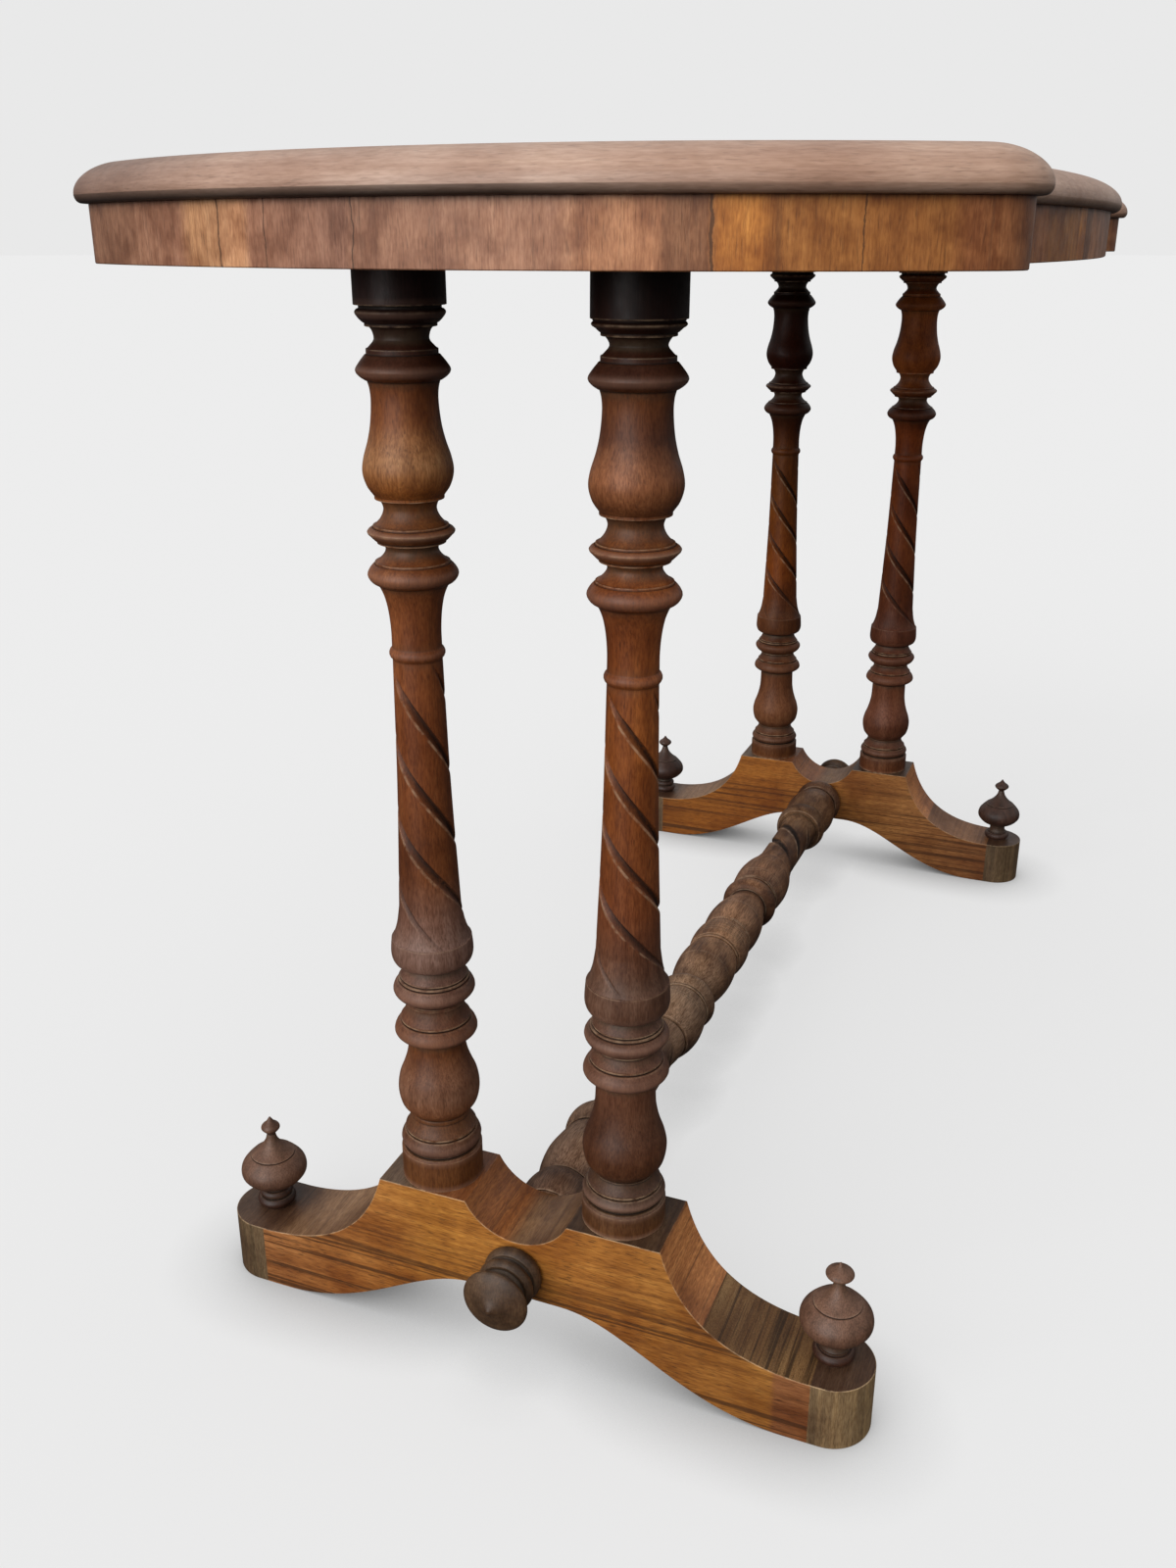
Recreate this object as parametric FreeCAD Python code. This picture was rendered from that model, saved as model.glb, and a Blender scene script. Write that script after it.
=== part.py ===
import FreeCAD, Part
import math
import os

# Games table: serpentine top on two pairs of turned columns, two shaped feet and a turned stretcher.
# Millimetres. +X along the table, +Y across it, +Z up, origin on the floor under the middle of the top.

# Top and frieze, sizes taken at the outer face of the frieze
table_height = 720.0
top_length = 1050.0
top_width = 512.0
top_thickness = 21.0
frieze_height = 30.0
frieze_thickness = 18.0
frieze_veneer = 1.5
corner_radius = 30.0
corner_setback = 94.0      # corner centre behind the end of the bow
lobe_stand = 10.0          # middle of the long side stands out past the corners
lobe_radius = 1300.0
cove_radius = 70.0

# Edge moulding
moulding_overhang = 7.0
moulding_width = 30.0
moulding_flat = 3.0        # flat on top, inside the thumbnail
moulding_lower_round = 3.0

# Playing board let into the top
field_veneer = 1.0
board_margin = 55.5        # edge of the top to the edge of the board, at the lobes
board_band = 22.0
board_stringing = 2.5
board_files = 8

# Bearers, screws and glue blocks under the top
bearer_width = 70.0
bearer_thickness = 28.0
screw_radius = 2.25
screw_head_radius = 4.5
screw_head_height = 3.0
screw_bite = 12.0          # thread that reaches into the top board
screw_step = 34.0          # from a column to the screws on each side of it
block_size = 16.0
block_length = 60.0
block_spacing = 160.0

# Feet
foot_inset = 97.4          # end of the top to the middle of the foot
foot_length = 452.0
foot_thickness = 53.0
foot_height = 113.0
foot_veneer = 1.5
veneer_lift = 1.0          # veneers stop short of the floor
toe_height = 45.0
toe_pad = 48.0             # length of toe that stands on the floor
toe_joint = 7.5            # toe wrap starts this far before the round of the toe
arch_height = 50.0
arch_flat = 60.0
dip_depth = 21.5           # hollow between the two columns
platform_length = 61.5
stripe_start = 28.0        # striped slope veneer starts this far outside the platform
slope_start_pull = 0.53    # how steep the slope leaves the platform
slope_start_lean = 0.11
slope_end_pull = 0.63      # how long the slope runs out along the toe
slope_end_rise = 0.04
arch_start_pull = 0.30
arch_end_pull = 0.46

# Columns: radii shared by all the turned rings
column_spread = 131.0      # between the two columns of a pair
top_drum_radius = 24.2
base_drum_radius = 26.0
ring_radius = 25.2
lower_vase_radius = 25.8
upper_vase_radius = 24.6
fillet_radius = 19.0
lip_radius = 20.8          # thin edge between a ring and the hollow above it
lower_neck_radius = 17.7
upper_neck_radius = 14.5
shaft_foot_radius = 18.8
shaft_waist_radius = 15.7
shaft_top_radius = 14.1
collar_radius = 15.9
base_drum = 16.0
top_drum = 23.0
tenon_radius = 12.0
tenon_length = 22.0
tenon_clearance = 0.1
tenon_end_gap = 1.0

# Twist flutes on the shafts
flute_lead = 126.0
flute_width = 8.4          # measured along the shaft
flute_depth = 2.4
flute_count = 3
flute_run_out = 14.0       # length over which a flute gets shallower at each end
flute_stations = 16        # sections of the cutter in one turn

# Stretcher, turned about a line along X
stretcher_radius = 25.5
stretcher_neck_radius = 20.6
stretcher_shaft_radius = 18.2
stretcher_fillet_radius = 21.0

# Knobs with long pins that hold the stretcher to the feet
knob_radius = 21.5
knob_back_radius = 19.0
knob_neck_radius = 13.0
knob_pin_radius = 8.0
knob_pin_bite = 30.0       # pin inside the stretcher

# Finials
finial_radius = 22.5
finial_base_radius = 13.0
finial_tip_radius = 8.0
finial_pin_radius = 4.0
finial_pin_length = 18.0

# Worked out from the sizes above
up = FreeCAD.Vector(0, 0, 1)
origin = FreeCAD.Vector(0, 0, 0)
top_bottom = table_height - top_thickness
frieze_bottom = top_bottom - frieze_height
bearer_bottom = top_bottom - bearer_thickness
field_bottom = table_height - field_veneer
moulding_inner = moulding_overhang - moulding_width
foot_x = top_length / 2 - foot_inset
column_y = column_spread / 2
column_height = bearer_bottom - foot_height
toe_y = foot_length / 2 - foot_thickness / 2
toe_joint_y = toe_y - toe_joint
platform_in = column_y - platform_length / 2
platform_out = column_y + platform_length / 2
stretcher_z = (arch_height + foot_height - dip_depth) / 2
stretcher_half = foot_x - foot_thickness / 2

ends = {"near": -1, "far": 1}
sides = {"left": 1, "right": -1}


def vec(x, y, z=0.0):
    return FreeCAD.Vector(x, y, z)


def box(low, high):
    return Part.makeBox(high.x - low.x, high.y - low.y, high.z - low.z, low)


def half_turn(shape):
    copy = shape.copy()
    copy.rotate(origin, up, 180)
    return copy


def moved(shape, x, y, z):
    copy = shape.copy()
    copy.translate(vec(x, y, z))
    return copy


def save(name, shape):
    shape.exportStep("parts/" + name + ".step")


# Plan of the top: bowed ends, round corners, and long sides that go in through a cove and out to a lobe.
# Every stretch is an arc, tangent to the next, so an offset only changes the radii.
bow_reach = top_length / 2
corner_centre = vec(bow_reach - corner_setback, top_width / 2 - lobe_stand - corner_radius)
lobe_centre = vec(0, top_width / 2 - lobe_radius)
bow_rise = corner_setback - corner_radius
bow_radius = (corner_setback ** 2 + corner_centre.y ** 2 - corner_radius ** 2) / (2 * bow_rise)
bow_centre = vec(bow_reach - bow_radius, 0)


def circle_meeting(first, first_radius, second, second_radius):
    # Outer of the two points where two circles cross
    along = second - first
    gap = along.Length
    reach = (first_radius ** 2 - second_radius ** 2 + gap ** 2) / (2 * gap)
    rise = math.sqrt(first_radius ** 2 - reach ** 2)
    direction = along / gap
    return first + direction * reach + vec(-direction.y, direction.x) * rise


def angle_of(vector):
    return math.degrees(math.atan2(vector.y, vector.x))


cove_centre = circle_meeting(lobe_centre, lobe_radius + cove_radius,
                             corner_centre, corner_radius + cove_radius)
bow_turn = angle_of(corner_centre - bow_centre)
corner_turn = angle_of(cove_centre - corner_centre)
lobe_turn = angle_of(cove_centre - lobe_centre)


def mirrored(centre, x_sign, y_sign):
    return vec(centre.x * x_sign, centre.y * y_sign)


# Each arc: centre, radius, +1 where the outside is away from the centre, start angle and sweep
end_arcs = [
    (corner_centre, corner_radius, 1, bow_turn, corner_turn - bow_turn),
    (bow_centre, bow_radius, 1, -bow_turn, 2 * bow_turn),
    (mirrored(corner_centre, 1, -1), corner_radius, 1, -corner_turn, corner_turn - bow_turn),
]
cove_sweep = corner_turn - lobe_turn
side_arcs = [
    (cove_centre, cove_radius, -1, lobe_turn - 180, cove_sweep),
    (lobe_centre, lobe_radius, 1, lobe_turn, 180 - 2 * lobe_turn),
    (mirrored(cove_centre, -1, 1), cove_radius, -1, -corner_turn, cove_sweep),
]


def plan_wire(offset):
    edges = []
    for centre, radius, outward, start, sweep in end_arcs + side_arcs:
        for turn in (0, 180):
            stretch = Part.makeCircle(radius + outward * offset, centre, up, start, start + sweep)
            stretch.rotate(origin, up, turn)
            edges.append(stretch)
    return Part.Wire(Part.__sortEdges__(edges))


def plan_solid(offset, bottom, top):
    solid = Part.Face(plan_wire(offset)).extrude(vec(0, 0, top - bottom))
    solid.translate(vec(0, 0, bottom))
    return solid


def run_along(arcs, section):
    # Carries a section, drawn as offsets from the plan line, round each arc and joins the lengths
    lengths = []
    for centre, radius, outward, start, sweep in arcs:
        face = section(lambda offset, z: vec(radius + outward * offset, 0, z))
        face.rotate(origin, up, start)
        length = face.revolve(origin, up, sweep)
        length.translate(centre)
        lengths.append(length)
    return lengths[0].fuse(lengths[1:]).removeSplitter()


def strip_section(inner, outer, bottom, top):
    def section(at):
        corners = [at(inner, bottom), at(outer, bottom), at(outer, top), at(inner, top), at(inner, bottom)]
        return Part.Face(Part.makePolygon(corners))
    return section


def curve(*points):
    bezier = Part.BezierCurve()
    bezier.setPoles(list(points))
    return bezier.toShape()


def line(start, end):
    return Part.makeLine(start, end)


def arc(start, middle, end):
    return Part.Arc(start, middle, end).toShape()


def moulding_section(at):
    # Thumbnail: flat underside, small round below, long ovolo above running up to a narrow flat
    nose = moulding_overhang
    crown = moulding_inner + moulding_flat
    low = top_bottom + moulding_lower_round
    quarter = 0.55             # pull of a curve that stands for a quarter of an ellipse
    lower_turn = moulding_lower_round * (1 - math.sqrt(0.5))
    edges = [
        line(at(moulding_inner, top_bottom), at(nose - moulding_lower_round, top_bottom)),
        arc(at(nose - moulding_lower_round, top_bottom),
            at(nose - lower_turn, top_bottom + lower_turn),
            at(nose, low)),
        curve(at(nose, low),
              at(nose, low + quarter * (table_height - low)),
              at(crown + (1 - quarter) * (nose - crown), table_height),
              at(crown, table_height)),
        line(at(crown, table_height), at(moulding_inner, table_height)),
        line(at(moulding_inner, table_height), at(moulding_inner, top_bottom)),
    ]
    return Part.Face(Part.Wire(edges))


# Turned pieces: a pattern is a list of stretches from the foot of the piece upwards.
# drum: length, radius.   arc: length, radius at start, middle and end.   curve: points of (height, radius).
def turned(pattern):
    edges = []
    height = 0.0
    radius = 0.0

    def step_to(new_radius):
        if abs(new_radius - radius) > 1e-6:
            edges.append(line(vec(radius, 0, height), vec(new_radius, 0, height)))

    for kind, *sizes in pattern:
        if kind == "drum":
            length, end_radius = sizes
            step_to(end_radius)
            edges.append(line(vec(end_radius, 0, height), vec(end_radius, 0, height + length)))
        elif kind == "arc":
            length, start_radius, middle_radius, end_radius = sizes
            step_to(start_radius)
            edges.append(arc(vec(start_radius, 0, height),
                             vec(middle_radius, 0, height + length / 2),
                             vec(end_radius, 0, height + length)))
        else:
            points = sizes[0]
            length, end_radius = points[-1]
            step_to(points[0][1])
            spline = Part.BSplineCurve()
            spline.interpolate([vec(r, 0, height + z) for z, r in points])
            edges.append(spline.toShape())
        height += length
        radius = end_radius
    step_to(0.0)
    edges.append(line(vec(0, 0, height), origin))
    return Part.Face(Part.Wire(edges)).revolve(origin, up, 360)


def pattern_length(pattern):
    return sum(sizes[0][-1][0] if kind == "curve" else sizes[0] for kind, *sizes in pattern)


def flutes(bottom, length, radii):
    # V cutters that wind left-handed round a shaft; radii are its radius at the bottom, middle and top.
    # At both ends a cutter lifts out of the shaft, so the flute runs out to a point.
    low, middle, high = radii
    turns = length / flute_lead
    stations = math.ceil(turns * flute_stations)
    sections = []
    for station in range(stations + 1):
        share = station / stations
        bend = 2 * low + 2 * high - 4 * middle
        radius = low + share * (high - low - bend) + share ** 2 * bend
        from_end = min(share, 1 - share) * length
        lift = 2 * flute_depth * max(0.0, 1 - from_end / flute_run_out)
        root = radius - flute_depth + lift
        mouth = root + 2 * flute_depth       # the cutter is twice as deep as the flute, and twice as wide
        z = bottom + share * length
        section = Part.makePolygon([vec(root, 0, z), vec(mouth, 0, z - flute_width),
                                    vec(mouth, 0, z + flute_width), vec(root, 0, z)])
        section.rotate(origin, up, -360 * turns * share)
        sections.append(section)
    cutter = Part.makeLoft(sections, True, False)
    cutters = []
    for start in range(flute_count):
        copy = cutter.copy()
        copy.rotate(origin, up, 360.0 * start / flute_count)
        cutters.append(copy)
    return cutters


def fillet(length):
    return ("drum", length, fillet_radius)


def lip(length):
    return ("drum", length, lip_radius)


# Column: each stretch of the turning, with its own length
lower_turning = [
    ("drum", base_drum, base_drum_radius),
    ("arc", 15.0, 23.6, ring_radius, 22.4),
    ("curve", [(0, 21.4), (3, 19.2), (7, 17.9), (10, lower_neck_radius)]),
    fillet(2.0),
    ("curve", [(0, 18.8), (5, 21.8), (11, 24.4), (21, lower_vase_radius), (31, 25.0), (40, 22.2), (47, 19.6),
               (53, 18.4)]),
    ("curve", [(0, 19.4), (4, 23.4), (10, ring_radius), (14, 24.2), (16, 22.0)]),
    lip(1.5),
    ("curve", [(0, 20.2), (3, 18.6), (7, lower_neck_radius), (10.5, lower_neck_radius)]),
    fillet(1.5),
    ("curve", [(0, 19.6), (4, 23.2), (9.5, ring_radius), (13, 24.2), (15, 22.0)]),
    lip(1.5),
    ("curve", [(0, 20.2), (3, 18.6), (6.5, 18.0)]),
    ("curve", [(0, 19.0), (2, 22.6), (6, 24.7), (11, ring_radius), (22, 24.5)]),
    ("curve", [(0, 23.9), (4, 22.2), (10, 20.5), (21.5, shaft_foot_radius)]),
]
upper_turning = [
    ("arc", 7.0, shaft_top_radius, collar_radius, shaft_top_radius),
    ("curve", [(0, shaft_top_radius), (10, shaft_top_radius), (20, 14.9), (28, 16.4), (33, 18.2), (36, 19.8)]),
    ("curve", [(0, 20.4), (2, 23.4), (5.5, ring_radius), (9, 23.8), (11.5, 21.6)]),
    lip(1.4),
    ("curve", [(0, 19.8), (3, 16.4), (6.5, upper_neck_radius), (10, 15.6)]),
    fillet(1.6),
    ("curve", [(0, 20.0), (2.6, 22.6), (4.8, 24.2), (7, 21.8)]),
    lip(1.4),
    ("curve", [(0, 19.6), (4, 16.2), (8.5, upper_neck_radius), (12, 15.4), (14, 16.8)]),
    fillet(2.0),
    ("curve", [(0, 19.2), (5, 22.6), (12.5, upper_vase_radius), (20, 23.6), (29, 20.8), (38, 18.9), (49.5, 17.9),
               (56, 18.3), (60, 19.4)]),
    ("curve", [(0, 20.2), (2.2, 23.4), (5, ring_radius), (8.5, 23.4), (13, 19.8)]),
    fillet(3.0),
    ("curve", [(0, 18.4), (2, 16.4), (4.6, upper_neck_radius), (8, 15.4), (10, 17.0)]),
    fillet(1.8),
    ("curve", [(0, 19.6), (2, 21.8), (4.3, 23.8), (6, 22.4)]),
    ("drum", 1.8, 21.6),
    ("drum", top_drum, top_drum_radius),
]
shaft_bottom = pattern_length(lower_turning)
shaft_length = column_height - shaft_bottom - pattern_length(upper_turning)
shaft_radii = [shaft_foot_radius, shaft_waist_radius, shaft_top_radius]

tenon = Part.makeCylinder(tenon_radius, tenon_length)
mortise = Part.makeCylinder(tenon_radius + tenon_clearance, tenon_length + tenon_end_gap)
shaft = ("curve", [(0, shaft_foot_radius),
                   (shaft_length / 2, shaft_waist_radius),
                   (shaft_length, shaft_top_radius)])
column = turned(lower_turning + [shaft] + upper_turning)
column = column.cut(flutes(shaft_bottom, shaft_length, shaft_radii))
column = column.fuse([moved(tenon, 0, 0, -tenon_length), moved(tenon, 0, 0, column_height)])

# Finial
finial = turned([
    ("arc", 13.0, 10.5, finial_base_radius, 10.5),
    ("arc", 5.0, 10.0, 8.5, 10.5),
    ("curve", [(0, 12.0), (6, 18.6), (14.5, finial_radius), (22, 20.0), (27, 14.2)]),
    ("curve", [(0, 13.4), (4, 8.6), (8, 4.8), (13, 3.2)]),
    ("curve", [(0, 3.2), (2.5, 6.8), (5.5, finial_tip_radius), (8.2, 6.8), (11, 3.0), (13, 0.6)]),
])
finial_pin = Part.makeCylinder(finial_pin_radius, finial_pin_length)
finial = finial.fuse(moved(finial_pin, 0, 0, -finial_pin_length))
finial_hole = Part.makeCylinder(finial_pin_radius + tenon_clearance, finial_pin_length + tenon_end_gap)

# Knob, turned along its own axis away from the foot
knob_pin_length = foot_thickness + knob_pin_bite
knob = turned([
    ("arc", 10.0, 16.5, knob_back_radius, 16.0),
    ("arc", 9.0, 14.0, knob_neck_radius, 14.0),
    ("curve", [(0, 14.0), (2, 18.8), (5, knob_radius), (8, 20.8), (11, 17.0), (14, 11.0), (17, 5.8), (20, 2.8),
               (22, 0.8)]),
])
knob_pin = Part.makeCylinder(knob_pin_radius, knob_pin_length)
knob = knob.fuse(moved(knob_pin, 0, 0, -knob_pin_length))
knob_hole = Part.makeCylinder(knob_pin_radius + tenon_clearance, knob_pin_length + tenon_end_gap)


def along_x(shape, direction):
    # Lays a piece turned along Z down along +X or -X
    turned_over = shape.copy()
    turned_over.rotate(origin, vec(0, 1, 0), 90 * direction)
    return turned_over


# Stretcher: half of it from the middle outwards, mirrored for the other half
middle_turning = [
    ("arc", 20.0, stretcher_radius, 25.2, 23.8),
    ("curve", [(0, 23.2), (13, 24.9), (26, stretcher_radius), (41, 24.2), (53, 22.2), (61, stretcher_neck_radius)]),
    ("curve", [(0, stretcher_neck_radius), (10, 22.8), (22, 25.0), (40, 25.4), (58, stretcher_radius), (71, 25.0),
               (83, 23.4), (95, 21.2), (107, 19.6)]),
]
end_turning = [
    ("curve", [(0, stretcher_shaft_radius), (9, 19.4), (18, 21.6)]),
    ("arc", 16.0, 23.0, stretcher_radius, 23.4),
    ("curve", [(0, 23.0), (20, 24.4), (36, stretcher_radius), (52, 24.0), (64, 22.0)]),
    ("drum", 2.0, stretcher_fillet_radius),
    ("arc", 24.0, 22.4, stretcher_radius, 23.0),
]
twist_start = pattern_length(middle_turning)
twist_length = stretcher_half - twist_start - pattern_length(end_turning)
half_stretcher = turned(middle_turning + [("drum", twist_length, stretcher_shaft_radius)] + end_turning)
half_stretcher = half_stretcher.cut(flutes(twist_start, twist_length, 3 * [stretcher_shaft_radius]))
half_stretcher = half_stretcher.cut(moved(knob_hole, 0, 0, stretcher_half - knob_pin_bite - tenon_end_gap))
far_half = along_x(half_stretcher, 1)
stretcher = moved(far_half.fuse(half_turn(far_half)).removeSplitter(), 0, 0, stretcher_z)


# Foot, drawn across the table and then given its thickness
def foot_outline(side):
    slope_end = toe_y - finial_base_radius
    slope_run = slope_end - platform_out
    slope_drop = foot_height - toe_height
    pad_start = foot_length / 2 - toe_pad
    arch_run = pad_start - arch_flat / 2
    tip = foot_length / 2

    def at(y, z):
        return vec(0, side * y, z)

    return [
        line(at(platform_in, foot_height), at(platform_out, foot_height)),
        curve(at(platform_out, foot_height),
              at(platform_out + slope_start_lean * slope_run, foot_height - slope_start_pull * slope_drop),
              at(slope_end - slope_end_pull * slope_run, toe_height + slope_end_rise * slope_drop),
              at(slope_end, toe_height)),
        line(at(slope_end, toe_height), at(tip, toe_height)),
        line(at(tip, toe_height), at(tip, 0)),
        line(at(tip, 0), at(pad_start, 0)),
        curve(at(pad_start, 0),
              at(pad_start - arch_end_pull * arch_run, 0),
              at(arch_flat / 2 + arch_start_pull * arch_run, arch_height),
              at(arch_flat / 2, arch_height)),
    ]


def foot_slab(thickness):
    dip = arc(vec(0, platform_in, foot_height),
              vec(0, 0, foot_height - dip_depth),
              vec(0, -platform_in, foot_height))
    underside = line(vec(0, arch_flat / 2, arch_height), vec(0, -arch_flat / 2, arch_height))
    edges = foot_outline(1) + foot_outline(-1) + [dip, underside]
    slab = Part.Face(Part.Wire(Part.__sortEdges__(edges))).extrude(vec(thickness, 0, 0))
    slab.translate(vec(-thickness / 2, 0, 0))
    return slab


def stadium(thickness):
    # Plan of the foot with round toes
    middle = box(vec(-thickness / 2, -toe_y, 0), vec(thickness / 2, toe_y, foot_height))
    rounds = [Part.makeCylinder(thickness / 2, foot_height, vec(0, side * toe_y, 0)) for side in (1, -1)]
    return middle.fuse(rounds)


def across(y_from, y_to, low=0.0):
    # Slice of the foot between two places across the table, on both sides of the middle
    reach = foot_thickness
    slices = [box(vec(-reach, y_from, low), vec(reach, y_to, foot_height)),
              box(vec(-reach, -y_to, low), vec(reach, -y_from, foot_height))]
    return Part.makeCompound(slices)


core_thickness = foot_thickness - 2 * foot_veneer
whole_foot = foot_slab(foot_thickness)
core_plan = stadium(core_thickness)
lowered = moved(whole_foot, 0, 0, -foot_veneer)
top_skin = whole_foot.cut(lowered).common(core_plan)
core = whole_foot.common(core_plan).cut(top_skin)
wraps = whole_foot.common(stadium(foot_thickness)).cut(core_plan)
wraps = wraps.common(across(toe_joint_y, foot_length, veneer_lift))
face_skin = whole_foot.cut(box(vec(-core_thickness / 2, -foot_length, 0),
                               vec(core_thickness / 2, foot_length, foot_height)))
face_skin = face_skin.common(box(vec(-foot_thickness, -toe_joint_y, veneer_lift),
                                 vec(foot_thickness, toe_joint_y, foot_height)))
top_strips = [
    top_skin.common(box(vec(-foot_thickness, -platform_in, 0),
                        vec(foot_thickness, platform_in, foot_height))),
    top_skin.common(across(platform_in, platform_out)),
    top_skin.common(across(platform_out, platform_out + stripe_start)),
    top_skin.common(across(platform_out + stripe_start, toe_joint_y)),
    top_skin.common(across(toe_joint_y, foot_length)),
]
mortise_floor = foot_height - tenon_length - tenon_end_gap
finial_hole_floor = toe_height - finial_pin_length - tenon_end_gap
drill = [moved(mortise, 0, side * column_y, mortise_floor) for side in (1, -1)]
drill += [moved(finial_hole, 0, side * toe_y, finial_hole_floor) for side in (1, -1)]
pin_bore = Part.makeCylinder(knob_pin_radius + tenon_clearance, foot_thickness)
drill.append(moved(along_x(pin_bore, 1), -foot_thickness / 2, 0, stretcher_z))


def solids_of(shapes):
    return [solid for shape in shapes for solid in shape.Solids]


foot_pieces = {
    "foot_core": core.cut(drill),
    "foot_face_veneers": Part.makeCompound(solids_of([face_skin.cut(drill)])),
    "foot_top_veneers": Part.makeCompound(solids_of([strip.cut(drill) for strip in top_strips])),
    "foot_toe_wraps": Part.makeCompound(solids_of([wraps])),
}

# Under the top: bearers scribed to the inside of the frieze, their screws, and glue blocks
well = plan_solid(-frieze_thickness, bearer_bottom, top_bottom)


def wood_screw():
    tip = screw_radius * 2
    shank = bearer_thickness + screw_bite - screw_head_height - tip
    head = Part.makeCone(screw_head_radius, screw_radius, screw_head_height)
    point = Part.makeCone(screw_radius, screw_radius / 4, tip, vec(0, 0, screw_head_height + shank))
    body = Part.makeCylinder(screw_radius, shank, vec(0, 0, screw_head_height))
    return moved(head.fuse([body, point]).removeSplitter(), 0, 0, bearer_bottom)


screw = wood_screw()
screws = []
bearers = {}
for end, x_sign in ends.items():
    x = x_sign * foot_x
    bearer = well.common(box(vec(x - bearer_width / 2, -top_width, bearer_bottom),
                             vec(x + bearer_width / 2, top_width, top_bottom)))
    bearer_screws = [moved(screw, x, side * (column_y + reach), 0)
                     for side in (1, -1) for reach in (-screw_step, screw_step)]
    mortises = [moved(mortise, x, side * column_y, bearer_bottom) for side in (1, -1)]
    bearers[end] = bearer.cut(bearer_screws + mortises)
    screws += bearer_screws

blocks = []
block_well = plan_solid(-frieze_thickness, top_bottom - block_size, top_bottom)
for place in (-1, 0, 1):
    x = place * block_spacing
    inner_face = lobe_centre.y + math.sqrt((lobe_radius - frieze_thickness) ** 2 - x ** 2)
    for side in (1, -1):
        near_y = side * (inner_face - block_size)
        far_y = side * (inner_face + block_size)
        stock = box(vec(x - block_length / 2, min(near_y, far_y), top_bottom - block_size),
                    vec(x + block_length / 2, max(near_y, far_y), top_bottom))
        blocks.append(block_well.common(stock))

# Top board and the playing board let into its veneer
board_half = top_width / 2 - board_margin
stringing_half = board_half - board_band
squares_half = stringing_half - board_stringing
square = 2 * squares_half / board_files


def inlay(half):
    return box(vec(-half, -half, field_bottom), vec(half, half, table_height))


top_core = plan_solid(moulding_inner, top_bottom, field_bottom).cut(screws)
field = plan_solid(moulding_inner, field_bottom, table_height).cut(inlay(board_half))
stringing = inlay(stringing_half).cut(inlay(squares_half))
band_side = Part.Face(Part.makePolygon([
    vec(board_half, -board_half), vec(board_half, board_half),
    vec(stringing_half, stringing_half), vec(stringing_half, -stringing_half),
    vec(board_half, -board_half),
])).extrude(vec(0, 0, field_veneer))
band = []
for quarter_turn in range(4):
    length = moved(band_side, 0, 0, field_bottom)
    length.rotate(origin, up, 90 * quarter_turn)
    band.append(length)
squares = {"light": [], "dark": []}
for rank in range(board_files):
    for file in range(board_files):
        corner = vec(file * square - squares_half, rank * square - squares_half, field_bottom)
        shade = "dark" if (rank + file) % 2 == 0 else "light"
        squares[shade].append(Part.makeBox(square, square, field_veneer, corner))

# Moulding, frieze and its veneer: an end and a side, each turned half round for the other one
lengths = {
    "moulding": moulding_section,
    "frieze_core": strip_section(-frieze_thickness, -frieze_veneer, frieze_bottom, top_bottom),
    "frieze_veneer": strip_section(-frieze_veneer, 0.0, frieze_bottom, top_bottom),
}

os.makedirs("parts", exist_ok=True)
for name, section in lengths.items():
    end_length = run_along(end_arcs, section)
    side_length = run_along(side_arcs, section)
    save("far_end_" + name, end_length)
    save("near_end_" + name, half_turn(end_length))
    save("left_side_" + name, side_length)
    save("right_side_" + name, half_turn(side_length))

save("top_core", top_core)
save("top_field_veneer", field)
save("board_band", Part.makeCompound(band))
save("board_stringing", stringing)
for shade, tiles in squares.items():
    save("board_" + shade + "_squares", Part.makeCompound(tiles))
save("bearer_screws", Part.makeCompound(screws))
save("glue_blocks", Part.makeCompound(blocks))
save("stretcher", stretcher)

for end, x_sign in ends.items():
    x = x_sign * foot_x
    save(end + "_bearer", bearers[end])
    knob_face = x + x_sign * foot_thickness / 2
    save(end + "_knob", moved(along_x(knob, x_sign), knob_face, 0, stretcher_z))
    for name, piece in foot_pieces.items():
        save(end + "_" + name, moved(piece, x, 0, 0))
    for side, y_sign in sides.items():
        save(end + "_" + side + "_column", moved(column, x, y_sign * column_y, foot_height))
        save(end + "_" + side + "_finial", moved(finial, x, y_sign * toe_y, toe_height))
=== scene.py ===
import bisect
import bmesh
import bpy
from math import atan2, cos, dist, hypot, pi, radians, sin, sqrt
from mathutils import Matrix, Vector
from mathutils.geometry import interpolate_bezier


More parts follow.
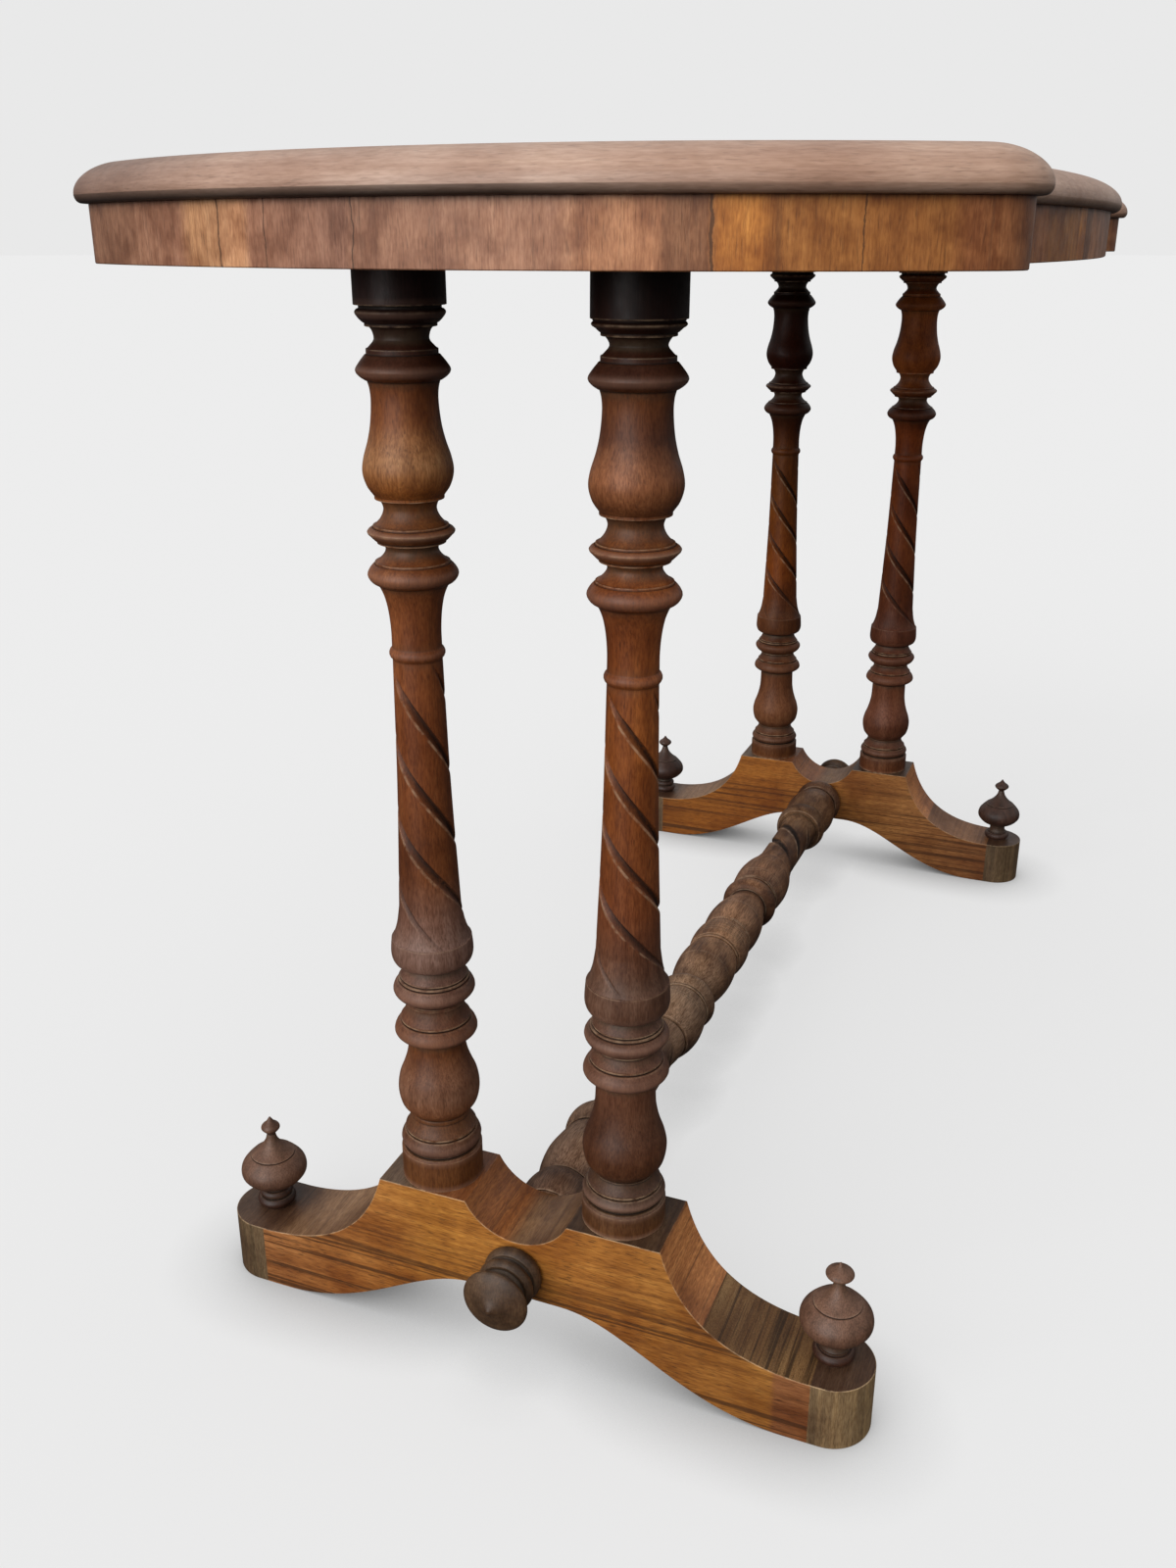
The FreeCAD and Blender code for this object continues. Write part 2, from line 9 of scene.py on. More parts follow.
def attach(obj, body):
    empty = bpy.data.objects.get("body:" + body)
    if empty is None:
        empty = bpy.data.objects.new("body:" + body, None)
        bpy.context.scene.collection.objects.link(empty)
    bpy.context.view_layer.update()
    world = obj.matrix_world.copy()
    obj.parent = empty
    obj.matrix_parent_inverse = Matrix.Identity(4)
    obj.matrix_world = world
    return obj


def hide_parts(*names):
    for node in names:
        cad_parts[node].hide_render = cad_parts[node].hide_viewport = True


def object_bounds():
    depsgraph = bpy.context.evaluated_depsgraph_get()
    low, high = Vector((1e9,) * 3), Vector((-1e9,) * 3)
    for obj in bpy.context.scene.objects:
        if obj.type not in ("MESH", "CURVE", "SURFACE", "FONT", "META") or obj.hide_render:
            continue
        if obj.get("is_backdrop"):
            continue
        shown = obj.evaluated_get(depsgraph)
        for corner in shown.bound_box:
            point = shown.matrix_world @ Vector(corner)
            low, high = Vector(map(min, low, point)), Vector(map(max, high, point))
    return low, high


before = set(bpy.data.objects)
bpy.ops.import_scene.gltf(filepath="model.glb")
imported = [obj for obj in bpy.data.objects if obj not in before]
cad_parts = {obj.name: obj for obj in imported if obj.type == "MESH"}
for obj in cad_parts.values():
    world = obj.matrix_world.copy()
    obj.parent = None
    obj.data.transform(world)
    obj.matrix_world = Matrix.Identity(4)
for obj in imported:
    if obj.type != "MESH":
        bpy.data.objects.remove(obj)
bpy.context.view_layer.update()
scene = bpy.context.scene
mm = 0.001
weldMm = 0.005
origin = Vector((0, 0, 0))
upward = Vector((0, 0, 1))
endSign = {"near": -1, "far": 1}
sideSign = {"left": 1, "right": -1}
wearAndShadeLayers = ("worn", "dust", "recess", "edge")
print("frame loaded:", len(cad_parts), "nodes")


def linearColour(hexValue):  # sRGB hex to the linear values a shader works in
    channels = [int(hexValue[place:place + 2], 16) / 255 for place in (1, 3, 5)]
    return [c / 12.92 if c <= 0.04045 else ((c + 0.055) / 1.055) ** 2.4 for c in channels] + [1.0]


def addNode(tree, kind, links=None, stops=None, **settings):
    # links holds fixed values, sockets, or nodes whose first output is meant
    node = tree.nodes.new("ShaderNode" + kind)
    for name, value in settings.items():
        setattr(node, name, value)
    for key, value in (links or {}).items():
        if isinstance(value, bpy.types.Node):
            value = value.outputs[0]
        if isinstance(value, bpy.types.NodeSocket):
            tree.links.new(value, node.inputs[key])
        else:
            node.inputs[key].default_value = value
    if stops:
        elements = node.color_ramp.elements
        while len(elements) < len(stops):
            elements.new(1.0)
        for element, (place, colour) in zip(elements, stops):
            element.position = place
            element.color = linearColour(colour)
    return node


def newMaterial(name):
    material = bpy.data.materials.new(name)
    material.use_nodes = True
    material.node_tree.nodes.clear()
    return material, material.node_tree


def perMetre(sizes):  # mapping scale that gives a pattern these sizes in millimetres
    return [1 / (size * mm) for size in sizes]


# Polished walnut: streaks and pores drawn out along the grain, cloudy patches of tone, grey dust settled in
# the hollows, black old polish in the cut lines, with painted shade where grooves, undercuts and overhangs
# are marked dark, bare paler wood along the arrises, and paler proud rounds that are partly wear and partly a
# painted sheen. Pores are about 0.2 mm across; they are drawn 0.7 mm wide, and the fine figure 1 mm, to show.
plainWood = {
    "grain": (7, 7, 130), "tones": ("#c9bcb4", "#e8dfd9", "#ffffff"), "toneStops": (0.30, 0.5, 0.70),
    "distortion": 0.4, "bands": None, "wobbleMm": 3.0, "cracks": (), "lowShade": None,
    "patchMm": 60, "patchDark": "#c6bcb6", "fineMm": (1.0, 1.0, 5), "fineDark": "#d6cec8",
    "poreMm": (0.7, 0.7, 7), "poreTone": "#1d0f09", "pores": 0.42,
    "lineMm": (2.2, 2.2, 120), "lineTone": "#2c180f", "lines": 0.25, "lineSpan": (0.58, 0.68),
    "lineDetail": 3.0, "lineHeights": None, "worn": "#8e6c5c", "wornAmount": 0.0, "dust": "#463a2c",
    "dustAmount": 0.75, "grime": "#150c08", "grimeAmount": 0.85, "grimeBreaks": (0.15, 0.45),
    "arris": "#a88d74", "arrisAmount": 0.35,
    "rough": (0.40, 0.54), "shine": 0.3, "coat": 0.04, "coatRough": 0.32, "bumpMm": 0.10,
}


def polishedWood(name, *shared, **changes):
    look = dict(plainWood)
    for settings in (*shared, changes):
        look.update(settings)
    material, tree = newMaterial(name)
    place = addNode(tree, "TexCoord").outputs["Object"]
    height = addNode(tree, "SeparateXYZ", {0: place}).outputs["Z"]
    worn, dust, recess, edge = [
        addNode(tree, "Attribute", attribute_name=layer).outputs["Fac"] for layer in wearAndShadeLayers]

    patterns = {"streak": (look["grain"], 6.0, look["distortion"]), "figure": (look["fineMm"], 2.0, 0.0),
            "line": (look["lineMm"], look["lineDetail"], 0.3), "pore": (look["poreMm"], 1.0, 0.0),
            "fleck": ((6, 6, 6), 5.0, 0.0)}
    if look["bands"]:
        patterns["ragged"] = ((11, 11, 11), 4.0, 0.0)
    noise = {}
    for pattern, (sizes, detail, distortion) in patterns.items():
        spread = addNode(tree, "Mapping", {"Vector": place, "Scale": perMetre(sizes)})
        noise[pattern] = addNode(tree, "TexNoise", {
            "Vector": spread, "Scale": 1.0, "Detail": detail, "Roughness": 0.6, "Distortion": distortion})
    fleck = noise["fleck"]

    # where each mark shows: what drives it, from and to, how strong; breaks wear it away by fleck or height
    spans = {
        "line": (noise["line"], *look["lineSpan"], look["lines"]), "pore": (noise["pore"], 0.60, 0.72, 1.0),
        "dust": (dust, 0.05, 1.0, look["dustAmount"]), "dustBreaks": (fleck, 0.2, 0.55, 1.0),
        "grime": (recess, 0.05, 0.85, look["grimeAmount"]),
        "grimeBreaks": (fleck, *look["grimeBreaks"], 1.0),
        "arris": (edge, 0.1, 0.9, look["arrisAmount"]), "arrisBreaks": (fleck, 0.36, 0.60, 1.0)}
    if look["lineHeights"]:
        spans["lineBreaks"] = (height, *[z * mm for z in look["lineHeights"]], 1.0)
    mark = {}
    for part, (value, low, high, most) in spans.items():
        mark[part] = addNode(tree, "MapRange", {
            "Value": value, "From Min": low, "From Max": high, "To Max": most})
    strengths = {"pores": (mark["pore"], look["pores"]), "worn": (worn, look["wornAmount"])}
    strengths.update({part: (mark[part], mark[part + "Breaks"]) for part in ("line", "dust", "grime", "arris")
            if part + "Breaks" in mark})
    for part, pair in strengths.items():
        mark[part] = addNode(tree, "Math", dict(enumerate(pair)), operation="MULTIPLY")

    layers = []
    if look["bands"]:  # colour along an axis or a veneer's run, joints a little uneven: the wood's own, and on the legs partly painted shade and sheen
        source, low, high, tones = look["bands"]
        if source == "run":
            along = addNode(tree, "Attribute", attribute_name="run").outputs["Fac"]
        else:
            along = addNode(tree, "SeparateXYZ", {0: place}).outputs[source]
        wobble = look["wobbleMm"]
        along = addNode(tree, "Math", {0: noise["ragged"], 1: 2 * wobble * mm, 2: along},
                operation="MULTIPLY_ADD")
        share = addNode(tree, "MapRange", {
            "Value": along, "From Min": (low + wobble) * mm, "From Max": (high + wobble) * mm})
        stops = [((at - low) / (high - low), tone) for at, tone in tones.items()]
        layers.append(("MULTIPLY", 1.0, addNode(tree, "ValToRGB", {"Fac": share}, stops=stops)))
        for at, wide in look["cracks"]:
            opened = addNode(tree, "Math", {0: along, 1: (at + wobble) * mm, 2: wide / 2 * mm},
                    operation="COMPARE")
            dark = addNode(tree, "Math", {0: opened, 1: 0.7}, operation="MULTIPLY")
            layers.append(("MIX", dark, linearColour(look["lineTone"])))
    patch = addNode(tree, "TexNoise", {"Vector": place, "Scale": 1 / (look["patchMm"] * mm), "Detail": 3.0})
    tints = [(patch, 0.38, 0.60, look["patchDark"]), (noise["figure"], 0.36, 0.62, look["fineDark"])]
    if look["lowShade"]:  # darker towards the bottom, a painted shade under the top light
        low, high, tone = look["lowShade"]
        rise = addNode(tree, "MapRange", {"Value": height, "From Min": low * mm, "From Max": high * mm})
        tints.append((rise, 0.0, 1.0, tone))
    for value, low, high, tone in tints:
        stops = [(low, tone), (high, "#ffffff")]
        layers.append(("MULTIPLY", 1.0, addNode(tree, "ValToRGB", {"Fac": value}, stops=stops)))
    for part, tone in (("line", "lineTone"), ("pores", "poreTone"), ("worn", "worn"), ("dust", "dust"),
            ("grime", "grime"), ("arris", "arris")):
        layers.append(("MIX", mark[part], linearColour(look[tone])))
    stops = list(zip(look["toneStops"], look["tones"]))
    colour = addNode(tree, "ValToRGB", {"Fac": noise["streak"]}, stops=stops)
    for how, amount, over in layers:
        mixed = addNode(tree, "Mix", {0: amount, 6: colour, 7: over}, data_type="RGBA", blend_type=how)
        colour = mixed.outputs[2]

    low, high = look["rough"]
    satin = addNode(tree, "MapRange", {
        "Value": fleck, "From Min": 0.3, "From Max": 0.7, "To Min": low, "To Max": high})
    roughness = addNode(tree, "Math", {0: mark["grime"], 1: 0.25, 2: satin}, operation="MULTIPLY_ADD")
    surface = addNode(tree, "Math", {0: mark["pore"], 1: -0.6, 2: noise["streak"]}, operation="MULTIPLY_ADD")
    bump = addNode(tree, "Bump", {"Height": surface, "Strength": 0.6, "Distance": look["bumpMm"] * mm})
    shader = addNode(tree, "BsdfPrincipled", {
        "Base Color": colour, "Roughness": roughness, "Normal": bump, "IOR": 1.5, "Coat Weight": look["coat"],
        "Specular IOR Level": look["shine"], "Coat Roughness": look["coatRough"]})
    addNode(tree, "OutputMaterial", {"Surface": shader})
    return material


# Turned walnut, grain up the leg: red-brown under old polish, golden on the vases, greyer lower down, where
# the grey-pink of the tori and flare is partly a painted sheen; every leg has its own tones, partly its own
# plank and partly painted shade, darkest at the tops under the frieze and over the upper half of the far left
# leg
legTonesAndShade = {
    ("near", "left"): {
        113: "#6a4222", 134: "#70482a", 138: "#66493c", 150: "#6a472f", 164: "#845230", 182: "#916c56",
        212: "#84512c", 230: "#77503a", 285: "#80655a", 330: "#744425", 420: "#804825", 500: "#a2643a",
        530: "#8c5a34", 556: "#9c5f2c", 572: "#af8055", 592: "#8e562e", 608: "#8c522c", 620: "#5c3828",
        645: "#3c2622", 671: "#362220"},
    ("near", "right"): {
        113: "#664224", 129: "#5e412c", 133: "#5a4638", 160: "#64402a", 182: "#5a3b2a", 212: "#6a4633",
        285: "#785c4c", 330: "#8e5430", 420: "#ac6832", 500: "#92542c", 540: "#84502a", 556: "#805030",
        570: "#a8704b", 590: "#653d29", 608: "#7e4b2a", 618: "#5c3828", 645: "#301409", 671: "#1a0a05"},
    ("far", "left"): {
        113: "#6a3f1d", 131: "#684631", 180: "#86583a", 212: "#744a30", 285: "#734729", 330: "#8f4d1a",
        420: "#7d4615", 490: "#582c0e", 515: "#462210", 545: "#3a1606", 610: "#3c1706", 671: "#241006"},
    ("far", "right"): {
        113: "#74462a", 131: "#644331", 180: "#845540", 212: "#744831", 285: "#683d2b", 330: "#7a4322",
        490: "#8e481e", 515: "#5c301a", 545: "#b1652f", 610: "#b66831", 671: "#301810"},
}
legWalnut = {}
for (end, side), tones in legTonesAndShade.items():
    legWalnut[end, side] = polishedWood(
        "turnedWalnut" + end.title() + side.title(), bands=("Z", 100, 680, tones), arris="#a88c70",
        arrisAmount=0.45, wornAmount=0.28 if end == "near" else 0.12,
        shine=0.2 if end == "near" else 0.12, coat=0.03)
# The same walnut lying down, drier and greyer from dust and shoes, and darker low on its sides, a painted
# shade
stretcherWalnut = polishedWood(
    "turnedWalnutAlong", grain=(130, 7, 7), poreMm=(7, 0.7, 0.7), lineMm=(120, 2.2, 2.2), lines=0.45,
    tones=("#c2b4a8", "#ffffff", "#ffffff"), patchMm=40, patchDark="#a2948a", fineMm=(14, 0.8, 0.8),
    fineDark="#b4a89e", grimeAmount=0.95, arrisAmount=0.5, rough=(0.46, 0.62), shine=0.2, coat=0.03,
    lowShade=(50, 97, "#76604e"), bands=("X", -405, 405, {
    -400: "#8c6c56", -170: "#a08066", -100: "#a6866a", -30: "#ac8260", 40: "#a67c5c", 130: "#9a7052",
    200: "#8c6446", 300: "#906c4a", 400: "#846048"}))
# Knobs and finials, small turnings handled and dusted for years: greyer, with a duller skin
knobWalnut = polishedWood(
    "turnedWalnutKnob", grain=(90, 6, 6), poreMm=(6, 0.7, 0.7), lineMm=(90, 2.2, 2.2),
    tones=("#42301f", "#523c29", "#604832"), rough=(0.44, 0.58), coat=0.03)
finialLook = {"grain": (6, 6, 80), "arrisAmount": 0.3, "rough": (0.44, 0.58)}
# the near finials get a painted shade over their lower bodies; the far finials are the same turning in darker
# tones, a painted-shade copy
finialWalnut = polishedWood(
    "turnedWalnutFinial", finialLook, fineMm=(0.8, 0.8, 2), lowShade=(52, 86, "#8c7668"),
    tones=("#5c4232", "#6e4f3e", "#7a5a47"))
finialShaded = polishedWood("turnedWalnutFarFinial", finialLook, tones=("#35241c", "#473026", "#543b30"))
# Solid walnut edge, sun-faded to a greyish pink-brown, dull satin, fine scratches along it; its near-black
# grime tone is the painted shade under the nose
mouldingWalnut = polishedWood(
    "fadedWalnutEdge", grain=(90, 90, 4), poreMm=(7, 7, 0.7), pores=0.2, lineMm=(60, 60, 1.6), lines=0.16,
    lineTone="#5a4036", patchMm=90, patchDark="#e2d8d2", grime="#20150f", grimeAmount=0.95,
    grimeBreaks=(0.0, 0.3), fineMm=(9, 9, 1.0), fineDark="#ece8e4",
    tones=("#a48674", "#b09382", "#bca08e"), rough=(0.40, 0.52), coat=0.08, bands=("run", -320, 320, {
    -320: "#f1e9e1", -150: "#fbf5ef", 0: "#ffffff", 110: "#f4eeea", 190: "#b6a8a1", 320: "#a89a94"}))
# Walnut veneer laid with its grain upright round the frieze, each leaf a different brown
friezeWalnut = polishedWood(
    "crossGrainWalnutVeneer", grain=(5, 5, 160), poreMm=(0.8, 0.8, 9), pores=0.3, lineMm=(3.0, 3.0, 150),
    lines=0.24, tones=("#d8ccc4", "#ede5e0", "#ffffff"), wobbleMm=2.2, patchMm=16, patchDark="#d0c4bc",
    fineDark="#e2dad6", lineTone="#3c2a1e",
    cracks=((117, 1.2), (86, 0.7), (35, 0.8), (-127, 1.4), (-190, 0.6)),
    bands=("run", -320, 320, {
    -320: "#886144", -236: "#aa7045", -226: "#a66e3a", -200: "#aa703a", -176: "#c08446", -152: "#b4783e",
    -148: "#d48e44", -129: "#d48e44", -126: "#9a6c4c", -108: "#9a6c4c", -104: "#c48c64", -74: "#c48c64",
    -60: "#bc8c6e", 36: "#a87c62", 40: "#a07660", 78: "#aa7e66", 95: "#ae8066", 101: "#d6a278",
    115: "#d8a67c", 119: "#cc9c72", 138: "#d0a074", 148: "#ae8066", 200: "#a0765c", 320: "#835e44"}))
# Walnut veneer along the foot's face: golden orange with a satin polish, dark lines drawn out low down
footEdge = {"arris": "#c3a47c", "arrisAmount": 0.4}
faceLook = {
    **footEdge, "grain": (16, 110, 4), "poreMm": (0.7, 8, 0.7), "pores": 0.6, "lineMm": (60, 300, 3.0),
    "lineTone": "#38200f", "lines": 0.75, "lineSpan": (0.54, 0.63), "lineDetail": 1.0,
    "lineHeights": (84, 50), "fineMm": (1, 9, 0.9), "lowShade": (15, 75, "#e0d6cc"), "arrisAmount": 0.38,
    "patchDark": "#cfc0b2"}
# the far foot's face: the same veneer in darker tones, partly painted shade
farFaceWalnut = polishedWood(
    "shadedAmberWalnutVeneer", faceLook, shine=0.2, lineHeights=(120, 60), bands=("Y", -230, 230, {
    -226: "#9c6e4a", -60: "#ae7a42", 60: "#aa6c2a", 226: "#a46a2a"}))
footFaceWalnut = polishedWood("goldenWalnutVeneer", faceLook, bands=("Y", -230, 230, {
    -226: "#a4724a", -171: "#a4724a", -168: "#bc8844", -40: "#b67b38", 60: "#bc8239", 120: "#c48848",
    200: "#b68050"}))
# Veneers across the top of the foot, grain across it, each length its own brown, greyed where dust lay
footTopWalnut = polishedWood(
    "crossGrainFootVeneer", footEdge, grain=(130, 5, 5), poreMm=(8, 0.7, 0.7), lineMm=(120, 2.4, 2.4),
    lines=0.5, fineMm=(5, 1, 1), wobbleMm=0.6, bands=("Y", -230, 230, {
    -226: "#564030", -184: "#564030", -124.6: "#6a4c34", -124: "#d69358", -97: "#d08f56", -96: "#56412f",
    -35: "#56412f", -34.4: "#88684a", 0: "#98744e", 10: "#a86a36", 34: "#a86b36", 35: "#925c36",
    62: "#8a5936", 74: "#725e4a", 96: "#725e4a", 97: "#a07e5c", 170: "#967658", 190: "#644b3a",
    226: "#604a38"}))
slopeLook = {**footEdge, "grain": (220, 5, 5), "poreMm": (8, 0.7, 0.7), "lineMm": (240, 3.6, 3.6),
        "shine": 0.18, "coat": 0.02, "toneStops": (0.34, 0.5, 0.66)}
footStripeWalnut = polishedWood("stripedWalnutVeneer", slopeLook, tones=("#684e34", "#82603c", "#94734c"),
        lines=0.75, lineTone="#1c120b", lineSpan=(0.52, 0.62))
farSlopeWalnut = polishedWood("plainSlopeVeneer", slopeLook, tones=("#80583c", "#926848", "#a07654"))
toeLook = {**footEdge, "grain": (6, 6, 130), "toneStops": (0.32, 0.5, 0.7), "rough": (0.46, 0.62),
        "coat": 0.03}
toeWrapWalnut = polishedWood("toeWalnutVeneer", toeLook, arrisAmount=0.5,
        tones=("#62503a", "#866e4e", "#a0845c"))
toeWrapDark = polishedWood("darkToeVeneer", toeLook, tones=("#4c3e28", "#66523a", "#7c6448"))
# Bare pine under the top, browned by age
pineLook = {"tones": ("#8c6238", "#a87a48", "#bd9160"), "lineTone": "#7a4c28", "lines": 0.3,
        "rough": (0.6, 0.8), "coat": 0.0}
oldPine = polishedWood("agedPine", pineLook, grain=(200, 14, 14), poreMm=(12, 1, 1), lineMm=(220, 5, 5))
pineAcross = polishedWood("agedPineAcross", pineLook, grain=(14, 200, 14), poreMm=(1, 12, 1),
        lineMm=(5, 220, 5))
# Top veneers, under more polish than the rest
topPolish = {"rough": (0.24, 0.4), "coat": 0.35, "coatRough": 0.2}
fieldWalnut = polishedWood(
    "figuredWalnutVeneer", topPolish, grain=(210, 16, 16), poreMm=(10, 0.8, 0.8), lineMm=(190, 3.2, 3.2),
    lines=0.6, tones=("#5d3823", "#855431", "#a9723f"), distortion=1.4)
bandWalnut = polishedWood("darkBandVeneer", topPolish, grain=(7, 7, 60),
        tones=("#3a2015", "#583322", "#70452d"))
boxwoodLine = polishedWood("boxwoodLine", grain=(40, 40, 40), tones=("#b8904f", "#cda863", "#dcbc7c"),
        lines=0.1, pores=0.15, rough=(0.28, 0.42), coat=0.3)
mapleSquare = polishedWood(
    "mellowMapleVeneer", topPolish, grain=(90, 7, 7), poreMm=(8, 0.8, 0.8), pores=0.15, lineMm=(80, 2.4, 2.4),
    lines=0.2, lineTone="#8c5f31", tones=("#b98a50", "#cb9f63", "#d8b178"), patchMm=44, patchDark="#c9b8a4")
rosewoodSquare = polishedWood(
    "rosewoodVeneer", topPolish, grain=(7, 90, 7), poreMm=(0.8, 8, 0.8), lineMm=(2.4, 80, 2.4), lines=0.6,
    lineTone="#120906", tones=("#22120c", "#3a2016", "#54301f"), patchMm=44)
# Turned iron screws: dull grey-brown, a little rust
dullIron, tree = newMaterial("dullIron")
place = addNode(tree, "TexCoord").outputs["Object"]
rust = addNode(tree, "TexNoise", {"Vector": place, "Scale": 1 / (2.5 * mm), "Detail": 4.0})
colour = addNode(tree, "ValToRGB", {"Fac": rust}, stops=[(0.45, "#6b655e"), (0.65, "#6e4a34")])
roughness = addNode(tree, "MapRange", {"Value": rust, "To Min": 0.4, "To Max": 0.7})
shader = addNode(tree, "BsdfPrincipled", {"Base Color": colour, "Roughness": roughness, "Metallic": 1.0})
addNode(tree, "OutputMaterial", {"Surface": shader})
print("materials made:", len(bpy.data.materials))


def addToScene(name, data, at=(0, 0, 0), facing=None):
    thing = bpy.data.objects.new(name, data)
    thing.location = at
    if facing:
        thing.rotation_euler = facing.to_track_quat("-Z", "Y").to_euler()
    scene.collection.objects.link(thing)
    return thing


def makeMesh(bm, name, materials):
    mesh = bpy.data.meshes.new(name)
    bm.to_mesh(mesh)
    bm.free()
    for material in materials:
        mesh.materials.append(material)
    return mesh


def weld(bm):
    bmesh.ops.remove_doubles(bm, verts=bm.verts, dist=weldMm * mm)
    bmesh.ops.recalc_face_normals(bm, faces=bm.faces)
    return bm


def turnRound(bm, degrees, axis):
    bmesh.ops.rotate(bm, verts=bm.verts, cent=origin, matrix=Matrix.Rotation(radians(degrees), 3, axis))


def finishPiece(bm, name, materials, replaced, at=(0, 0, 0), sharpDegrees=32):
    bmesh.ops.translate(bm, verts=bm.verts, vec=Vector(at) * mm)
    mesh = makeMesh(bm, name, materials)
    mesh.shade_smooth()
    mesh.set_sharp_from_angle(angle=radians(sharpDegrees))
    piece = addToScene(name, mesh)
    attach(piece, "root")
    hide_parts(*replaced)
    print(name, len(mesh.polygons), "faces")


def clamp(value):
    return min(1.0, max(0.0, value))


def sampleProfile(pattern, stepMm):  # (height, radius) points in millimetres along a list of turned stretches
    points = [(0.0, 0.0)]
    base = 0.0
    for kind, *sizes in pattern:
        if kind == "drum":
            length, radius = sizes
            count = max(1, round(length / stepMm / 1.5))
            points += [(base + length * k / count, radius) for k in range(count + 1)]
        elif kind == "arc":
            length, first, middle, last = sizes
            count = max(4, round(length / stepMm))
            bend = 2 * first + 2 * last - 4 * middle
            for k in range(count + 1):
                share = k / count
                radius = first + share * (last - first - bend) + share ** 2 * bend
                points.append((base + length * share, radius))
        else:
            length = sizes[0][-1][0]
            knots = [Vector(knot) for knot in sizes[0]]
            knots = [knots[0] - (knots[1] - knots[0]), *knots, knots[-1] + (knots[-1] - knots[-2])]
            for before, start, end, after in zip(knots, knots[1:], knots[2:], knots[3:]):
                span = (end - start).length
                leave = (end - before).normalized() * span / 3
                arrive = (after - start).normalized() * span / 3
                count = max(2, round(span / stepMm))
                for p in interpolate_bezier(start, start + leave, end - arrive, end, count + 1):
                    points.append((base + p.x, p.y))
        base += length
    points.append((base, 0.0))
    clean = [points[0]]
    for point in points[1:]:
        if dist(point, clean[-1]) > 0.02:
            clean.append(point)
    return clean


easing = {"sharpDegrees": 28, "guardMm": 0.9, "guardRoom": 2.2, "mostOfLeg": 0.4}


def easeCorners(points, cutMm):  # takes the sharpness off each turned corner, with a line either side of it
    guard = easing["guardMm"]
    room = guard * easing["guardRoom"]
    eased = [points[0]]
    for before, here, after in zip(points, points[1:], points[2:]):
        corner = Vector(here)
        arrive = corner - Vector(before)
        leave = Vector(after) - corner
        if arrive.angle(leave) < radians(easing["sharpDegrees"]):
            eased.append(here)
            continue
        start = corner - arrive.normalized() * min(cutMm, arrive.length * easing["mostOfLeg"])
        end = corner + leave.normalized() * min(cutMm, leave.length * easing["mostOfLeg"])
        if arrive.length > room:
            eased.append(tuple(corner - arrive.normalized() * guard))
        eased += [tuple(start), tuple(start * 0.25 + corner * 0.5 + end * 0.25), tuple(end)]
        if leave.length > room:
            eased.append(tuple(corner + leave.normalized() * guard))
    eased.append(points[-1])
    return eased


def turnedPoints(pattern, piece):
    return easeCorners(sampleProfile(pattern, piece["stepMm"]), piece["easeMm"])


def standOut(points, reachMm):  # how far each point stands proud (+) of the chord across its neighbourhood
    along = [0.0]
    for here, after in zip(points, points[1:]):
        along.append(along[-1] + dist(here, after))

    def spot(distance):
        k = min(max(bisect.bisect(along, distance), 1), len(along) - 1)
        share = clamp((distance - along[k - 1]) / (along[k] - along[k - 1]))
        return Vector(points[k - 1]).lerp(Vector(points[k]), share)

    proud = []
    for point, distance in zip(points, along):
        start = spot(distance - reachMm)
        chord = spot(distance + reachMm) - start
        out = Vector(point) - start
        proud.append((chord.x * out.y - chord.y * out.x) / max(chord.length, 0.01))
    return proud


# wear, painted shade and painted sheen of a turning in mm: how far apart it is measured, where it starts to
# show and where it shows in full
wearAndShade = {"hollowReach": 5.0, "hollowFull": 3.0, "roundFrom": 0.8, "roundFull": 1.6, "lineReach": 1.2,
        "lineFrom": 0.22, "lineFull": 0.45}


def turnProfile(points, segments):
    # spins a profile round Z; its hollows, cut lines, arrises and proud rounds go with it as attributes,
    # the paler proud rounds partly wear and partly a painted sheen
    bm = bmesh.new()
    worn, dust, recess, edge = [bm.verts.layers.float.new(layer) for layer in wearAndShadeLayers]
    broadStand = standOut(points, wearAndShade["hollowReach"])
    fineStand = standOut(points, wearAndShade["lineReach"])
    chain = []
    for (z, r), broad, fine in zip(points, broadStand, fineStand):
        vert = bm.verts.new((r * mm, 0, z * mm))
        vert[worn] = clamp((broad - wearAndShade["roundFrom"]) / wearAndShade["roundFull"])
        vert[dust] = clamp(-broad / wearAndShade["hollowFull"])
        vert[recess if fine < 0 else edge] = clamp((abs(fine) - wearAndShade["lineFrom"]) / wearAndShade["lineFull"])
        chain.append(vert)
    edges = [bm.edges.new(pair) for pair in zip(chain, chain[1:])]
    bmesh.ops.spin(bm, geom=chain + edges, cent=origin, axis=upward, dvec=origin, angle=2 * pi,
            steps=segments, use_merge=True, use_duplicate=False)
    return weld(bm)


# a flute is two half widths across, in steps of the spin; it narrows to a share of that as it runs out
flute = {"count": 3, "halfSteps": 5, "depth": 2.4, "deepestAt": 0.4, "bite": 0.75, "steepWallShade": 0.35,
        "lip": 0.9, "lipReach": 1.45, "narrowest": 0.25, "coreRadius": 5}


